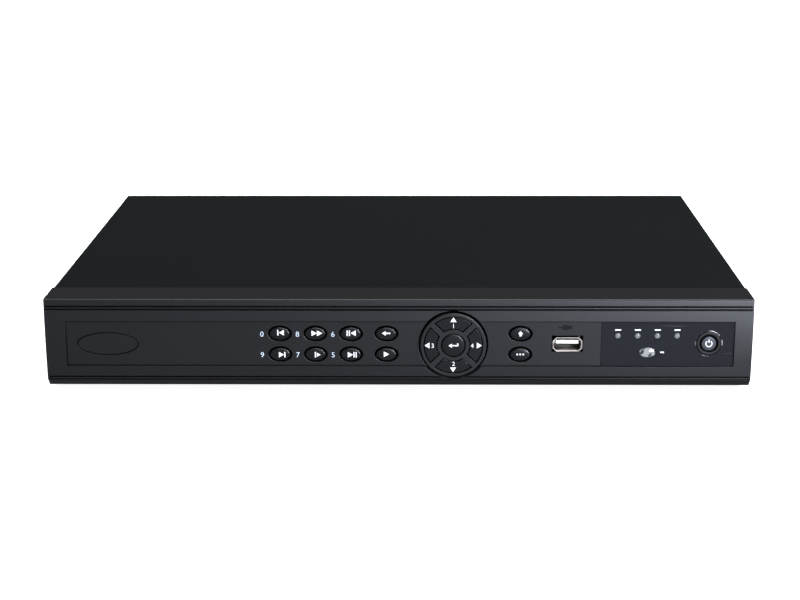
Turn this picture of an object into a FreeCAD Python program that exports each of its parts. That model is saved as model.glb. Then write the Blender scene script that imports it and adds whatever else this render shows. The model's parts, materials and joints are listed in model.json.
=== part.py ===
import FreeCAD, Part
import math
import os

from FreeCAD import Vector

# Desktop video recorder: a moulded front bezel with keys on a folded steel tray and cover.
# All sizes are in millimetres. X runs to the right, Y from the front to the back, Z up.
# The shapes are drawn with Y = 0 at the crown of the front face and Z = 0 on the floor,
# and are moved to the middle of the whole object's depth just before they are written.

# ---------------------------------------------------------------- overall case
case_width = 360.0
case_depth = 241.0        # crown of the front face to the rear lip of the cover
bezel_height = 46.55
foot_stand = 4.0          # underside of the bezel above the floor
sheet = 1.0               # steel sheet of the tray and of the cover
reveal = 0.2              # the sheet metal is this much smaller than the bezel all round
slip = 0.1                # gap between pieces that slide together when assembled
seam = 0.3                # gap between the bezel ledge and the cover's front edge

# ---------------------------------------------------------------- bezel shell
ledge_depth = 22.5
bezel_wall = 2.5
face_bow = 390.0          # radius of the slightly bowed front face
crown_below_top = 30.0
tuck_height = 4.05        # the face turns under over this height
tuck_depth = 3.4
top_edge_round = 0.9
upper_groove = 0.9        # width of each of the two upper grooves
upper_rib = 0.65          # left between them
lower_groove = 0.78
lower_rib = 0.6
groove_depth = 0.6
groove_end = 0.9          # the grooves stop this far from the bezel's ends
upper_grooves_below_top = 3.5
lower_grooves_above_bottom = 3.65
clip_width = 12.0
clip_thickness = 1.5
clip_reach = 3.0
clip_inset = 60.0

# ---------------------------------------------------------------- sunk front panel
panel_sink = 0.8          # flat panel behind the crown of the face
panel_below_top = 11.54
panel_height = 23.96
panel_left_margin = 10.4
panel_right_margin = 9.2
badge_from_left = 31.8
badge_drop = 0.2
badge_half_width = 15.85
badge_half_height = 6.2
badge_line = 0.6
badge_line_depth = 0.35

# ---------------------------------------------------------------- front layout, chained from the right end
window_width = 67.55
window_thickness = 1.5
window_set_in = 0.1       # window face behind the panel face
power_from_window_end = 12.9
power_rise = 0.32
led_first_from_window = 8.45
led_pitch = 10.03
led_rise = 4.35
ir_from_window = 23.85
ir_drop = 4.54
usb_to_window = 17.05
usb_drop = 0.2
shift_to_usb = 23.9
nav_to_shift = 34.1
nav_drop = 0.33
escape_to_nav = 34.05
key_column_pitch = 18.08
key_row_pitch = 11.05
key_rows_drop = 0.12

# ---------------------------------------------------------------- oval keys
key_half_width = 5.2
key_half_height = 3.3
key_gap = 0.6             # between the cap and its hole
key_edge_round = 0.75
key_proud = 0.7           # cap face in front of the panel
key_flange_lip = 0.9      # flange beyond the hole, behind the panel
key_hole_bevel = 0.45
key_travel = 0.6
key_play = 0.12           # key flange to the panel's back at rest
flange_thickness = 1.0
stem_radius = 1.5
stem_spare = 0.06         # left between stem and plunger when the key is fully pressed

# ---------------------------------------------------------------- navigation pad
nav_radius = 16.9
nav_proud = 0.8           # ring face in front of the crown
nav_hole_gap = 0.35
nav_hole_bevel = 0.55
nav_rim_width = 1.8
nav_edge_round = 0.55
nav_key_round = 0.35
enter_round = 0.7
nav_inner_ring_width = 2.0
nav_spoke_width = 2.8
nav_key_gap = 0.3
nav_key_sink = 0.25       # sector caps behind the ring face
nav_flange_lip = 0.5
nav_seat_lip = 1.25       # ring flange beyond its hole
nav_seat_thickness = 1.0
enter_radius = 5.95
enter_gap = 0.3
enter_proud = 0.3         # Enter cap in front of the ring face

# ---------------------------------------------------------------- power button and indicators
power_radius = 3.75
power_gap = 0.35
power_ring_radius = 6.3
power_ring_band = 1.65
power_ring_proud = 0.35   # ring face in front of the window
power_step_sink = 1.1
power_proud = 0.5         # button face in front of the window
power_travel = 0.8
led_radius = 1.45
led_gap = 0.1
led_dome_proud = 0.35
ir_half_width = 4.35
ir_half_height = 2.7
ir_gap = 0.1

usb_half_width = 6.6      # inside of the front socket's shell
usb_half_height = 2.85
usb_shell_wall = 0.35
usb_flare = 0.55          # the mouth opens out by this much all round
usb_flare_corner = 1.9    # cut off the mouth's corners
usb_hole_half_width = 7.9
usb_hole_half_height = 4.33
usb_hole_rise = 0.36      # hole centre above the shell's
usb_tongue_half = 5.7
usb_tongue_thickness = 1.9
usb_tongue_setback = 1.2  # tongue's tip behind the mouth's rim
usb_contact_pitch = 2.25

led_length = 5.5          # dome to collar
led_collar_lip = 0.3
led_collar_depth = 1.0
led_leg_half = 0.25
led_leg_spread = 0.8
eye_back = 6.5            # receiver's back behind the panel
eye_body_depth = 2.6
eye_body_half = 2.9
eye_body_rise = 3.2
eye_lens_radius = 2.2
eye_leg_pitch = 2.2
eye_leg_half = 0.3

# ---------------------------------------------------------------- front board
board_thickness = 1.6
key_board_y = 14.5        # front face of the board
key_board_height = 34.0
key_board_left = 18.0     # board beyond the first key column
key_board_right = 14.0    # board beyond the power button
boss_radius = 2.5
boss_edge = 2.6           # boss centre inside the board's edge
switch_size = 6.0
switch_body = 3.5
switch_plunger = 1.4
switch_plunger_radius = 1.75
small_screw_radius = 1.0
small_screw_head = 2.2
small_screw_length = 6.0

# ---------------------------------------------------------------- sheet metal and screws
wall_height = 15.0        # tray side walls
rear_lip = 5.8            # cover lip over the rear panel
cover_bend = 0.2          # inside radius of the cover's long bends
screw_radius = 1.5
screw_clearance = 0.15
screw_head_radius = 2.8
screw_head_height = 1.7
screw_length = 5.0
long_screw_length = 8.0
long_screw_head = 2.4
flat_head_radius = 2.6
flat_head_height = 0.95
cover_screw_height = 8.0
cover_screw_inset = 30.0
rear_screw_inset = 40.0
vent_slot_width = 2.4
vent_slot_height = 16.0
vent_slot_pitch = 6.0
vent_slot_count = 18
foot_radius = 8.0
foot_inset_x = 28.0
foot_inset_y = 26.0

# ---------------------------------------------------------------- main board
main_board_width = 178.0
main_board_depth = 125.0
main_board_inset = 7.0    # from the tray's side wall
main_board_to_rear = 3.0
standoff_height = 6.0
standoff_radius = 3.2
standoff_edge = 6.0
standoff_row_pitch = 71.5
chip_height = 1.6
heat_sink_place = (70.0, 34.0)
heat_sink_size = 40.0
heat_sink_height = 12.0
heat_sink_base = 2.5
fin_count = 9
fin_pitch = 4.8
fin_thickness = 1.6
capacitor_radius = 4.0
capacitor_height = 10.0
capacitor_places = [(x, y) for x in (134, 150, 162) for y in (62, 74)]
battery_place = (150.0, 30.0)
battery_radius = 10.0
battery_height = 3.2
battery_floor = 1.0

# ---------------------------------------------------------------- leads inside the case
header_height = 6.0
header_depth = 8.0
data_from_rear = 27.0
power_from_rear = 37.0
fan_lead_from_rear = 20.0
plug_length = 5.0
plug_half_height = 0.95
data_radius = 1.1
power_lead_radius = 1.2
fan_lead_radius = 0.7
ribbon_width = 20.0
ribbon_thickness = 1.0
ribbon_rise = 4.0         # above the middle of the front panel

# ---------------------------------------------------------------- hard disk, 3.5 inch
disk_width = 101.6
disk_length = 147.0
disk_height = 26.1
disk_lid = 1.5
disk_board = 1.6
disk_inset = 7.0
disk_from_front = 8.0
disk_boss_height = 3.0
disk_boss_radius = 5.0
disk_hole_span = 95.25
disk_hole_pitch = 44.45
disk_hole_from_end = 41.3

# ---------------------------------------------------------------- fan, 40 mm
fan_size = 40.0
fan_thickness = 10.0
fan_bore = 19.2
fan_hole_span = 32.0
fan_from_left = 60.0
fan_above_floor = 0.2
fan_hub_radius = 11.0
fan_blade_reach = 18.6
fan_blade_count = 7
fan_shaft_radius = 1.0
fan_shaft_clearance = 0.05

# ---------------------------------------------------------------- rear sockets, from the board's right end
dc_from_board_end = 8.0
terminal_to_dc = 17.5
network_to_terminal = 21.0
hdmi_to_network = 18.0
vga_to_hdmi = 25.5
audio_to_vga = 23.5
video_to_audio = 14.0
video_pitch_x = 14.5
video_pitch_z = 15.5
video_columns = 4
audio_pitch_z = 14.0
cutout_gap = 0.3
video_barrel_radius = 4.8
video_barrel_reach = 13.0
video_barrel_behind = 9.0  # barrel inside the rear panel
video_wall = 0.7
video_collar = 1.4
video_first_rise = 9.0     # lower row above the board
video_housing_depth = 16.0
audio_barrel_radius = 4.15
audio_barrel_reach = 9.5
audio_barrel_behind = 7.0
audio_bore = 1.65
audio_collar = 0.8
audio_first_rise = 8.0
audio_housing_half = 5.5
audio_housing_depth = 12.0
vga_rise = 6.4
vga_post_span = 24.99
vga_post_hole = 1.3
vga_post_radius = 2.5
vga_flange_half = 15.5
vga_top_half = 8.3         # half width of the D outline at its top
vga_bottom_half = 7.3
vga_half_height = 4.1
vga_collar = 0.4
vga_body_depth = 9.0
hdmi_rise = 3.4
hdmi_half_width = 7.5
hdmi_half_height = 3.0
hdmi_corner = 2.0
hdmi_wall = 0.4
hdmi_depth = 11.0
stack_half_width = 8.0     # network and USB stack
stack_depth = 15.0
stack_proud = 0.8
usb_rises = (4.0, 12.0)
usb_opening_half_width = 6.4
usb_opening_half_height = 2.6
network_rise = 23.0
network_half_height = 6.8
network_opening_half_width = 5.9
network_opening_half_height = 3.6
network_opening_depth = 12.0
network_pin_pitch = 1.02
terminal_ways = 6
terminal_pitch = 3.5
terminal_rise = 5.0
terminal_half_height = 5.0
terminal_proud = 3.0
terminal_depth = 9.0
dc_rise = 6.5
dc_half = 4.5
dc_top = 5.0               # jack body above its axis
dc_depth = 12.0
dc_bore = 3.0
dc_pin = 1.0

# ---------------------------------------------------------------- places worked out from the sizes above
half_width = case_width / 2
bezel_bottom = foot_stand
bezel_top = foot_stand + bezel_height
crown_z = bezel_top - crown_below_top
panel_top = bezel_top - panel_below_top
panel_bottom = panel_top - panel_height
panel_mid = (panel_top + panel_bottom) / 2
panel_left = -half_width + panel_left_margin
panel_right = half_width - panel_right_margin
panel_back = panel_sink + bezel_wall

window_left = panel_right - window_width
window_face = panel_sink + window_set_in
window_back = window_face + window_thickness
power_x = panel_right - power_from_window_end
power_z = panel_mid + power_rise
led_z = panel_mid + led_rise
led_xs = [window_left + led_first_from_window + i * led_pitch for i in range(4)]
ir_x = window_left + ir_from_window
ir_z = panel_mid - ir_drop
usb_x = window_left - usb_to_window
usb_z = panel_mid - usb_drop
shift_x = usb_x - shift_to_usb
nav_x = shift_x - nav_to_shift
nav_z = panel_mid - nav_drop
escape_x = nav_x - escape_to_nav
column_xs = [escape_x - n * key_column_pitch for n in (3, 2, 1)]
upper_row = panel_mid - key_rows_drop + key_row_pitch / 2
lower_row = panel_mid - key_rows_drop - key_row_pitch / 2

OVAL_KEYS = {
    "key_0": (column_xs[0], upper_row),
    "key_8": (column_xs[1], upper_row),
    "key_6": (column_xs[2], upper_row),
    "key_9": (column_xs[0], lower_row),
    "key_7": (column_xs[1], lower_row),
    "key_5": (column_xs[2], lower_row),
    "key_esc": (escape_x, upper_row),
    "key_play": (escape_x, lower_row),
    "key_shift": (shift_x, upper_row),
    "key_fn": (shift_x, lower_row),
}
NAV_KEYS = {"nav_up": 0, "nav_right": 90, "nav_down": 180, "nav_left": 270}
nav_rim_inner = nav_radius - nav_rim_width
nav_hub_outer = enter_radius + enter_gap + nav_inner_ring_width
nav_stem_radius = (nav_rim_inner + nav_hub_outer) / 2

key_face = panel_sink - key_proud
nav_face = -nav_proud
enter_face = nav_face - enter_proud
power_ring_face = window_face - power_ring_proud
power_face = window_face - power_proud
flange_front = panel_back + key_play
flange_back = flange_front + flange_thickness
power_seat_back = panel_back + flange_thickness
switch_front = key_board_y - switch_body
plunger_front = switch_front - switch_plunger
key_board_back = key_board_y + board_thickness
key_board_x0 = column_xs[0] - key_board_left
key_board_x1 = power_x + key_board_right
key_board_z0 = panel_mid - key_board_height / 2
key_board_z1 = panel_mid + key_board_height / 2
key_flange_half_width = key_half_width + key_gap + key_flange_lip
nav_seat_radius = nav_radius + nav_hole_gap + nav_seat_lip
boss_xs = (
    key_board_x0 + boss_edge + 1.0,
    (escape_x + key_flange_half_width + nav_x - nav_seat_radius) / 2,
    (shift_x - key_flange_half_width + nav_x + nav_seat_radius) / 2,
    key_board_x1 - boss_edge - 1.0,
)
boss_zs = (key_board_z0 + boss_edge, key_board_z1 - boss_edge)

cover_half = half_width - reveal
cover_top = bezel_top - reveal
cover_under = cover_top - sheet
tray_half = cover_half - sheet - slip
tray_bottom = bezel_bottom + reveal
tray_floor = tray_bottom + sheet
tray_front = ledge_depth
rear_face = case_depth - sheet - slip
rear_inside = rear_face - sheet
tray_top = cover_under - slip

board_x1 = tray_half - sheet - main_board_inset
board_x0 = board_x1 - main_board_width
board_y1 = rear_inside - main_board_to_rear
board_y0 = board_y1 - main_board_depth
board_z0 = tray_floor + standoff_height
board_z1 = board_z0 + board_thickness
standoffs = [
    (x, y)
    for x in (board_x0 + standoff_edge, board_x1 - standoff_edge)
    for y in (board_y0 + standoff_edge, board_y0 + standoff_edge + standoff_row_pitch)
]

disk_x0 = -tray_half + sheet + disk_inset
disk_x1 = disk_x0 + disk_width
disk_y0 = tray_front + sheet + disk_from_front
disk_y1 = disk_y0 + disk_length
disk_z0 = tray_floor + disk_boss_height
disk_z1 = disk_z0 + disk_height
disk_holes = [
    ((disk_x0 + disk_x1) / 2 + side * disk_hole_span / 2, disk_y1 - disk_hole_from_end - n * disk_hole_pitch)
    for side in (-1, 1)
    for n in (0, 1)
]

cable_z = board_z1 + header_height / 2
data_y = rear_inside - data_from_rear
power_y = rear_inside - power_from_rear
fan_lead_y = rear_inside - fan_lead_from_rear

fan_x = -tray_half + fan_from_left
fan_z = tray_floor + fan_above_floor + fan_size / 2
fan_y1 = rear_inside
fan_y0 = fan_y1 - fan_thickness

dc_x = board_x1 - dc_from_board_end
terminal_x = dc_x - terminal_to_dc
network_x = terminal_x - network_to_terminal
hdmi_x = network_x - hdmi_to_network
vga_x = hdmi_x - vga_to_hdmi
audio_x = vga_x - audio_to_vga
video_xs = [audio_x - video_to_audio - n * video_pitch_x for n in range(video_columns)]
video_zs = [board_z1 + video_first_rise + n * video_pitch_z for n in range(2)]
audio_zs = [board_z1 + audio_first_rise + n * audio_pitch_z for n in range(2)]
vga_z = board_z1 + vga_rise
hdmi_z = board_z1 + hdmi_rise
usb_zs = [board_z1 + rise for rise in usb_rises]
network_z = board_z1 + network_rise
network_bottom = network_z - network_half_height
terminal_z = board_z1 + terminal_rise
terminal_half_width = terminal_ways * terminal_pitch / 2 + 0.5
dc_z = board_z1 + dc_rise

front_most = min(enter_face, key_face, power_face)
rear_most = rear_face + video_barrel_reach
middle_y = (front_most + rear_most) / 2


# ---------------------------------------------------------------- plain shapes
def box(x0, x1, y0, y1, z0, z1):
    """A block between two corners."""
    return Part.makeBox(x1 - x0, y1 - y0, z1 - z0, Vector(x0, y0, z0))


def rod(x, z, radius, y0, y1):
    """A round bar along Y."""
    return Part.makeCylinder(radius, y1 - y0, Vector(x, y0, z), Vector(0, 1, 0))


def post(x, y, radius, z0, z1):
    """A round bar along Z."""
    return Part.makeCylinder(radius, z1 - z0, Vector(x, y, z0), Vector(0, 0, 1))


def tube(x, z, outer, inner, y0, y1):
    """A round tube along Y."""
    return rod(x, z, outer, y0, y1).cut(rod(x, z, inner, y0, y1))


def cone(x, z, radius0, radius1, y0, y1):
    """A cone frustum along Y, radius0 at y0."""
    return Part.makeCone(radius0, radius1, y1 - y0, Vector(x, y0, z), Vector(0, 1, 0))


def ellipse_wire(x, z, half_x, half_z, y):
    """An upright ellipse that is wider than it is high."""
    curve = Part.Ellipse(Vector(half_x, 0, 0), Vector(0, 0, half_z), Vector(0, 0, 0))
    wire = Part.Wire([curve.toShape()])
    wire.translate(Vector(x, y, z))
    return wire


def oval(x, z, half_x, half_z, y0, y1):
    """An elliptical bar along Y."""
    return Part.Face(ellipse_wire(x, z, half_x, half_z, y0)).extrude(Vector(0, y1 - y0, 0))


def oval_bevel(x, z, half_x, half_z, size, y):
    """The cutter that bevels the front rim of an elliptical hole whose face lies at y."""
    spare = 0.2
    front = ellipse_wire(x, z, half_x + size + spare, half_z + size + spare, y - spare)
    back = ellipse_wire(x, z, half_x, half_z, y + size)
    return Part.makeLoft([front, back], True, True)


def prism_y(points, y0, y1):
    """A polygon of (x, z) points carried along Y."""
    corners = [Vector(x, y0, z) for x, z in points]
    return Part.Face(Part.makePolygon(corners + corners[:1])).extrude(Vector(0, y1 - y0, 0))


def join(shapes):
    """One solid from touching solids, with the inner seams removed."""
    first, *rest = shapes
    return first.fuse(rest).removeSplitter() if rest else first


def group(shapes):
    """Separate solids that share one node."""
    return Part.makeCompound(shapes)


def round_front(shape, y, radius):
    """Round every edge that lies wholly in the plane at y."""
    edges = [e for e in shape.Edges if max(abs(e.BoundBox.YMin - y), abs(e.BoundBox.YMax - y)) < 1e-4]
    return shape.makeFillet(radius, edges)


def screw(at, outward, radius=screw_radius, head=screw_head_radius, length=screw_length):
    """A pan-head screw with a cross recess; its head rests at the point and its shank runs inwards."""
    head_height = screw_head_height * head / screw_head_radius
    top = Part.makeCylinder(head, head_height)
    top = top.makeFillet(head_height * 0.45, [top.Edges[0]])
    for length_x, length_y in ((head * 1.1, 0.7), (0.7, head * 1.1)):
        corner = Vector(-length_x / 2, -length_y / 2, head_height * 0.45)
        slot = Part.makeBox(length_x, length_y, head_height, corner)
        top = top.cut(slot)
    shank = Part.makeCylinder(radius, length, Vector(0, 0, -length))
    shape = join([top, shank])
    shape.Placement = FreeCAD.Placement(at, FreeCAD.Rotation(Vector(0, 0, 1), outward))
    return shape


def flat_screw(at, outward):
    """A countersunk screw whose flat head lies flush at the point."""
    head = Part.makeCone(screw_radius, flat_head_radius, flat_head_height, Vector(0, 0, -flat_head_height))
    for size_x, size_y in ((3.0, 0.6), (0.6, 3.0)):
        head = head.cut(Part.makeBox(size_x, size_y, 1, Vector(-size_x / 2, -size_y / 2, -0.4)))
    shank = Part.makeCylinder(screw_radius, screw_length, Vector(0, 0, -flat_head_height - screw_length))
    shape = join([head, shank])
    shape.Placement = FreeCAD.Placement(at, FreeCAD.Rotation(Vector(0, 0, 1), outward))
    return shape


def bent_path(points):
    """Straight runs joined by tangent arcs, each as large as 0.45 of its shorter run allows."""
    edges = []
    start = points[0]
    for before, corner, after in zip(points, points[1:], points[2:]):
        into = (corner - before).normalize()
        out = (after - corner).normalize()
        setback = 0.45 * min((corner - before).Length, (after - corner).Length)
        first = corner - into * setback
        last = corner + out * setback
        half_turn = into.getAngle(out) / 2
        radius = setback / math.tan(half_turn)
        inwards = (out - into).normalize()
        middle = corner + inwards * (radius / math.cos(half_turn) - radius)
        edges.append(Part.LineSegment(start, first).toShape())
        edges.append(Part.Arc(first, middle, last).toShape())
        start = last
    edges.append(Part.LineSegment(start, points[-1]).toShape())
    return Part.Wire(edges)


def round_cable(points, radius):
    """A round cable along a bent path."""
    path = bent_path(points)
    ring = Part.Wire([Part.Circle(points[0], points[1] - points[0], radius).toShape()])
    return path.makePipeShell([ring], True, True)


# ---------------------------------------------------------------- bezel
def face_y(z):
    """How far the bowed face lies behind its crown at a height."""
    return face_bow - math.sqrt(face_bow ** 2 - (z - crown_z) ** 2)


def bezel_profile():
    """Side outline: ledge, rounded top edge, bowed face, tucked-under foot."""
    top = bezel_top
    bottom = bezel_bottom
    shoulder = top - top_edge_round
    heel = bottom + tuck_height
    edge_y = face_y(shoulder)
    across = top_edge_round * (1 - math.sqrt(0.5))
    ledge_start = Vector(0, edge_y + top_edge_round, top)
    shoulder_point = Vector(0, edge_y, shoulder)
    heel_point = Vector(0, face_y(heel), heel)
    toe = Vector(0, face_y(heel) + tuck_depth, bottom)
    back_bottom = Vector(0, ledge_depth, bottom)
    back_top = Vector(0, ledge_depth, top)
    edges = [
        Part.LineSegment(back_top, ledge_start).toShape(),
        Part.Arc(ledge_start, Vector(0, edge_y + across, top - across), shoulder_point).toShape(),
        Part.Arc(shoulder_point, Vector(0, 0, crown_z), heel_point).toShape(),
        Part.LineSegment(heel_point, toe).toShape(),
        Part.LineSegment(toe, back_bottom).toShape(),
        Part.LineSegment(back_bottom, back_top).toShape(),
    ]
    return Part.Face(Part.Wire(edges))


def groove_pair(top_of_pair, width, rib):
    """Two shallow slots along the face with a rib left between them."""
    slots = []
    for n in range(2):
        z1 = top_of_pair - n * (width + rib)
        z0 = z1 - width
        floor_y = face_y((z0 + z1) / 2) + groove_depth
        slots.append(box(-half_width + groove_end, half_width - groove_end, -1, floor_y, z0, z1))
    return slots


def clip_places():
    """Centres of the bezel's clips along the top and bottom walls, as (x, z)."""
    top_z = bezel_top - bezel_wall - clip_thickness / 2
    bottom_z = bezel_bottom + bezel_wall + clip_thickness / 2
    xs = (-half_width + clip_inset, 0, half_width - clip_inset)
    return [(x, z) for x in xs for z in (top_z, bottom_z)]


def clip(x, z, spare=0.0):
    """One clip, or with spare the slot that it goes through."""
    half_x = clip_width / 2 + spare
    half_z = clip_thickness / 2 + spare
    y0 = ledge_depth - 2 * clip_reach
    y1 = ledge_depth + clip_reach
    return box(x - half_x, x + half_x, y0, y1, z - half_z, z + half_z)


def usb_outline(grow, y0, y1):
    """The rectangular outline of the front socket's shell, grown on all sides."""
    half_x = usb_half_width + grow
    half_z = usb_half_height + grow
    return box(usb_x - half_x, usb_x + half_x, y0, y1, usb_z - half_z, usb_z + half_z)


def usb_hole():
    """The opening in the bezel round the front socket's mouth."""
    middle = usb_z + usb_hole_rise
    return box(
        usb_x - usb_hole_half_width,
        usb_x + usb_hole_half_width,
        -1,
        panel_back + 1,
        middle - usb_hole_half_height,
        middle + usb_hole_half_height,
    )


def make_bezel():
    """The moulded front: shell, sunk panel, grooves, holes, board bosses and clips."""
    shell = bezel_profile().extrude(Vector(case_width, 0, 0))
    shell.translate(Vector(-half_width, 0, 0))
    inner = half_width - bezel_wall
    ceiling = bezel_top - bezel_wall
    hollow = box(-inner, inner, panel_back, ledge_depth + 1, bezel_bottom + bezel_wall, ceiling)
    cuts = [hollow, box(panel_left, panel_right, -1, panel_sink, panel_bottom, panel_top)]
    cuts += groove_pair(bezel_top - upper_grooves_below_top, upper_groove, upper_rib)
    lower_pair_top = bezel_bottom + lower_grooves_above_bottom + 2 * lower_groove + lower_rib
    cuts += groove_pair(lower_pair_top, lower_groove, lower_rib)
    cuts.append(box(window_left, panel_right, 0, window_back, panel_bottom, panel_top))

    badge = oval(badge_x(), badge_z(), badge_half_width, badge_half_height, 0, panel_sink + badge_line_depth)
    island = oval(badge_x(), badge_z(), badge_half_width - badge_line, badge_half_height - badge_line, -1, 5)
    cuts.append(badge.cut(island))

    hole_x = key_half_width + key_gap
    hole_z = key_half_height + key_gap
    for x, z in OVAL_KEYS.values():
        cuts.append(oval(x, z, hole_x, hole_z, 0, panel_back + 1))
        cuts.append(oval_bevel(x, z, hole_x, hole_z, key_hole_bevel, panel_sink))

    nav_hole = nav_radius + nav_hole_gap
    bevel_back = panel_sink + nav_hole_bevel
    cuts.append(rod(nav_x, nav_z, nav_hole, -2, panel_back + 1))
    cuts.append(cone(nav_x, nav_z, nav_hole + bevel_back + 1, nav_hole, -1, bevel_back))

    cuts.append(usb_hole())
    cuts.append(rod(power_x, power_z, power_ring_radius + slip, 0, panel_back + 1))
    cuts.append(oval(ir_x, ir_z, ir_half_width + ir_gap, ir_half_height + ir_gap, 0, panel_back + 1))
    cuts += [rod(x, led_z, led_radius + led_gap, 0, panel_back + 1) for x in led_xs]
    shell = shell.cut(cuts)

    bosses = [rod(x, z, boss_radius, panel_back, key_board_y) for x in boss_xs for z in boss_zs]
    clips = [clip(x, z) for x, z in clip_places()]
    shell = join([shell] + bosses + clips)
    pilot = small_screw_radius + 0.05
    depth = small_screw_length - board_thickness + 0.5
    pilots = [rod(x, z, pilot, key_board_y - depth, key_board_y + 1) for x in boss_xs for z in boss_zs]
    return shell.cut(pilots)


def badge_x():
    """Middle of the blank badge outline."""
    return -half_width + badge_from_left


def badge_z():
    """Height of the badge outline's middle."""
    return panel_mid - badge_drop


def make_window():
    """The dark plate over the indicators, flush in its pocket."""
    x0 = window_left + slip
    plate = box(x0, panel_right - slip, window_face, window_back, panel_bottom + slip, panel_top - slip)
    cuts = [rod(x, led_z, led_radius + led_gap, 0, window_back + 1) for x in led_xs]
    cuts.append(oval(ir_x, ir_z, ir_half_width + ir_gap, ir_half_height + ir_gap, 0, window_back + 1))
    cuts.append(rod(power_x, power_z, power_ring_radius + slip, 0, window_back + 1))
    return plate.cut(cuts)


# ---------------------------------------------------------------- keys
def stem(x, z, y0, travel):
    """The stem that ends its travel just short of the switch plunger."""
    return rod(x, z, stem_radius, y0, plunger_front - travel - stem_spare)


def oval_key(x, z):
    """A domed oval cap with its flange and stem."""
    cap = oval(x, z, key_half_width, key_half_height, key_face, flange_front)
    cap = round_front(cap, key_face, key_edge_round)
    lip = key_gap + key_flange_lip
    flange = oval(x, z, key_half_width + lip, key_half_height + lip, flange_front, flange_back)
    return join([cap, flange, stem(x, z, flange_back, key_travel)])


def sector(inner, outer, edge, y0, y1, turn):
    """A quarter of a ring round the pad's centre, its straight sides set back from the diagonals."""
    reach = 2 * outer
    apex = nav_z + edge * math.sqrt(2)
    corners = [(nav_x, apex), (nav_x + reach, apex + reach), (nav_x - reach, apex + reach)]
    wedge = prism_y(corners, y0, y1)
    piece = tube(nav_x, nav_z, outer, inner, y0, y1).common(wedge)
    piece.rotate(Vector(nav_x, 0, nav_z), Vector(0, 1, 0), turn)
    return piece


def nav_key(turn):
    """One arrow key of the pad."""
    edge = nav_spoke_width / 2
    inner = nav_hub_outer + nav_key_gap
    outer = nav_rim_inner - nav_key_gap
    cap_face = nav_face + nav_key_sink
    cap = sector(inner, outer, edge + nav_key_gap, cap_face, flange_front, turn)
    cap = round_front(cap, cap_face, nav_key_round)
    flange = sector(
        nav_hub_outer - nav_flange_lip,
        nav_rim_inner + nav_flange_lip,
        edge - nav_flange_lip,
        flange_front,
        flange_back,
        turn,
    )
    angle = math.radians(turn)
    x = nav_x + nav_stem_radius * math.sin(angle)
    z = nav_z + nav_stem_radius * math.cos(angle)
    return join([cap, flange, stem(x, z, flange_back, key_travel)])


def make_nav_ring():
    """The fixed ring with its four spokes and a seat flange behind the bezel."""
    body = rod(nav_x, nav_z, nav_radius, nav_face, panel_back)
    body = round_front(body, nav_face, nav_edge_round)
    seat = tube(
        nav_x,
        nav_z,
        nav_seat_radius,
        nav_rim_inner + nav_flange_lip + nav_key_gap,
        panel_back,
        panel_back + nav_seat_thickness,
    )
    windows = [
        sector(nav_hub_outer, nav_rim_inner, nav_spoke_width / 2, nav_face - 1, panel_back, turn)
        for turn in NAV_KEYS.values()
    ]
    windows.append(rod(nav_x, nav_z, enter_radius + enter_gap, nav_face - 1, panel_back))
    return join([body.cut(windows), seat])


def make_enter():
    """The round Enter key in the middle of the pad."""
    cap = rod(nav_x, nav_z, enter_radius, enter_face, flange_front)
    cap = round_front(cap, enter_face, enter_round)
    flange = rod(nav_x, nav_z, enter_radius + enter_gap + nav_flange_lip, flange_front, flange_back)
    return join([cap, flange, stem(nav_x, nav_z, flange_back, key_travel)])


def make_power_ring():
    """The round bezel of the power button, with a sunk step inside its band."""
    band_inner = power_ring_radius - power_ring_band
    bore = power_radius + power_gap
    step_face = power_ring_face + power_step_sink
    body = tube(power_x, power_z, power_ring_radius, bore, power_ring_face, panel_back)
    body = body.cut(rod(power_x, power_z, band_inner, 0, step_face))
    seat = tube(power_x, power_z, power_ring_radius + 1.0, bore, panel_back, power_seat_back)
    return join([body, seat])


def make_power_button():
    """The power button's cap, flange and stem."""
    front = power_seat_back + key_play
    cap = rod(power_x, power_z, power_radius, power_face, front)
    cap = round_front(cap, power_face, 0.4)
    flange = rod(power_x, power_z, power_radius + power_gap + 0.9, front, front + flange_thickness)
    return join([cap, flange, stem(power_x, power_z, front + flange_thickness, power_travel)])


def switch_places():
    """Centres of all the switches on the front board."""
    places = list(OVAL_KEYS.values())
    for turn in NAV_KEYS.values():
        angle = math.radians(turn)
        places.append((nav_x + nav_stem_radius * math.sin(angle), nav_z + nav_stem_radius * math.cos(angle)))
    return places + [(nav_x, nav_z), (power_x, power_z)]


def make_switches():
    """One small push switch behind each key."""
    half = switch_size / 2
    switches = []
    for x, z in switch_places():
        body = box(x - half, x + half, switch_front, key_board_y, z - half, z + half)
        plunger = rod(x, z, switch_plunger_radius, plunger_front, switch_front)
        switches.append(join([body, plunger]))
    return group(switches)


# ---------------------------------------------------------------- front board
def make_key_board():
    """The circuit board behind the keys, screwed to the bezel's bosses."""
    board = box(key_board_x0, key_board_x1, key_board_y, key_board_back, key_board_z0, key_board_z1)
    radius = small_screw_radius + screw_clearance
    holes = [rod(x, z, radius, key_board_y - 1, key_board_back + 1) for x in boss_xs for z in boss_zs]
    return board.cut(holes)


def make_key_board_screws():
    """Small pan-head screws, heads on the back of the board."""
    back = Vector(0, 1, 0)
    size = (small_screw_radius, small_screw_head, small_screw_length)
    return group([screw(Vector(x, key_board_back, z), back, *size) for x in boss_xs for z in boss_zs])


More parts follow.
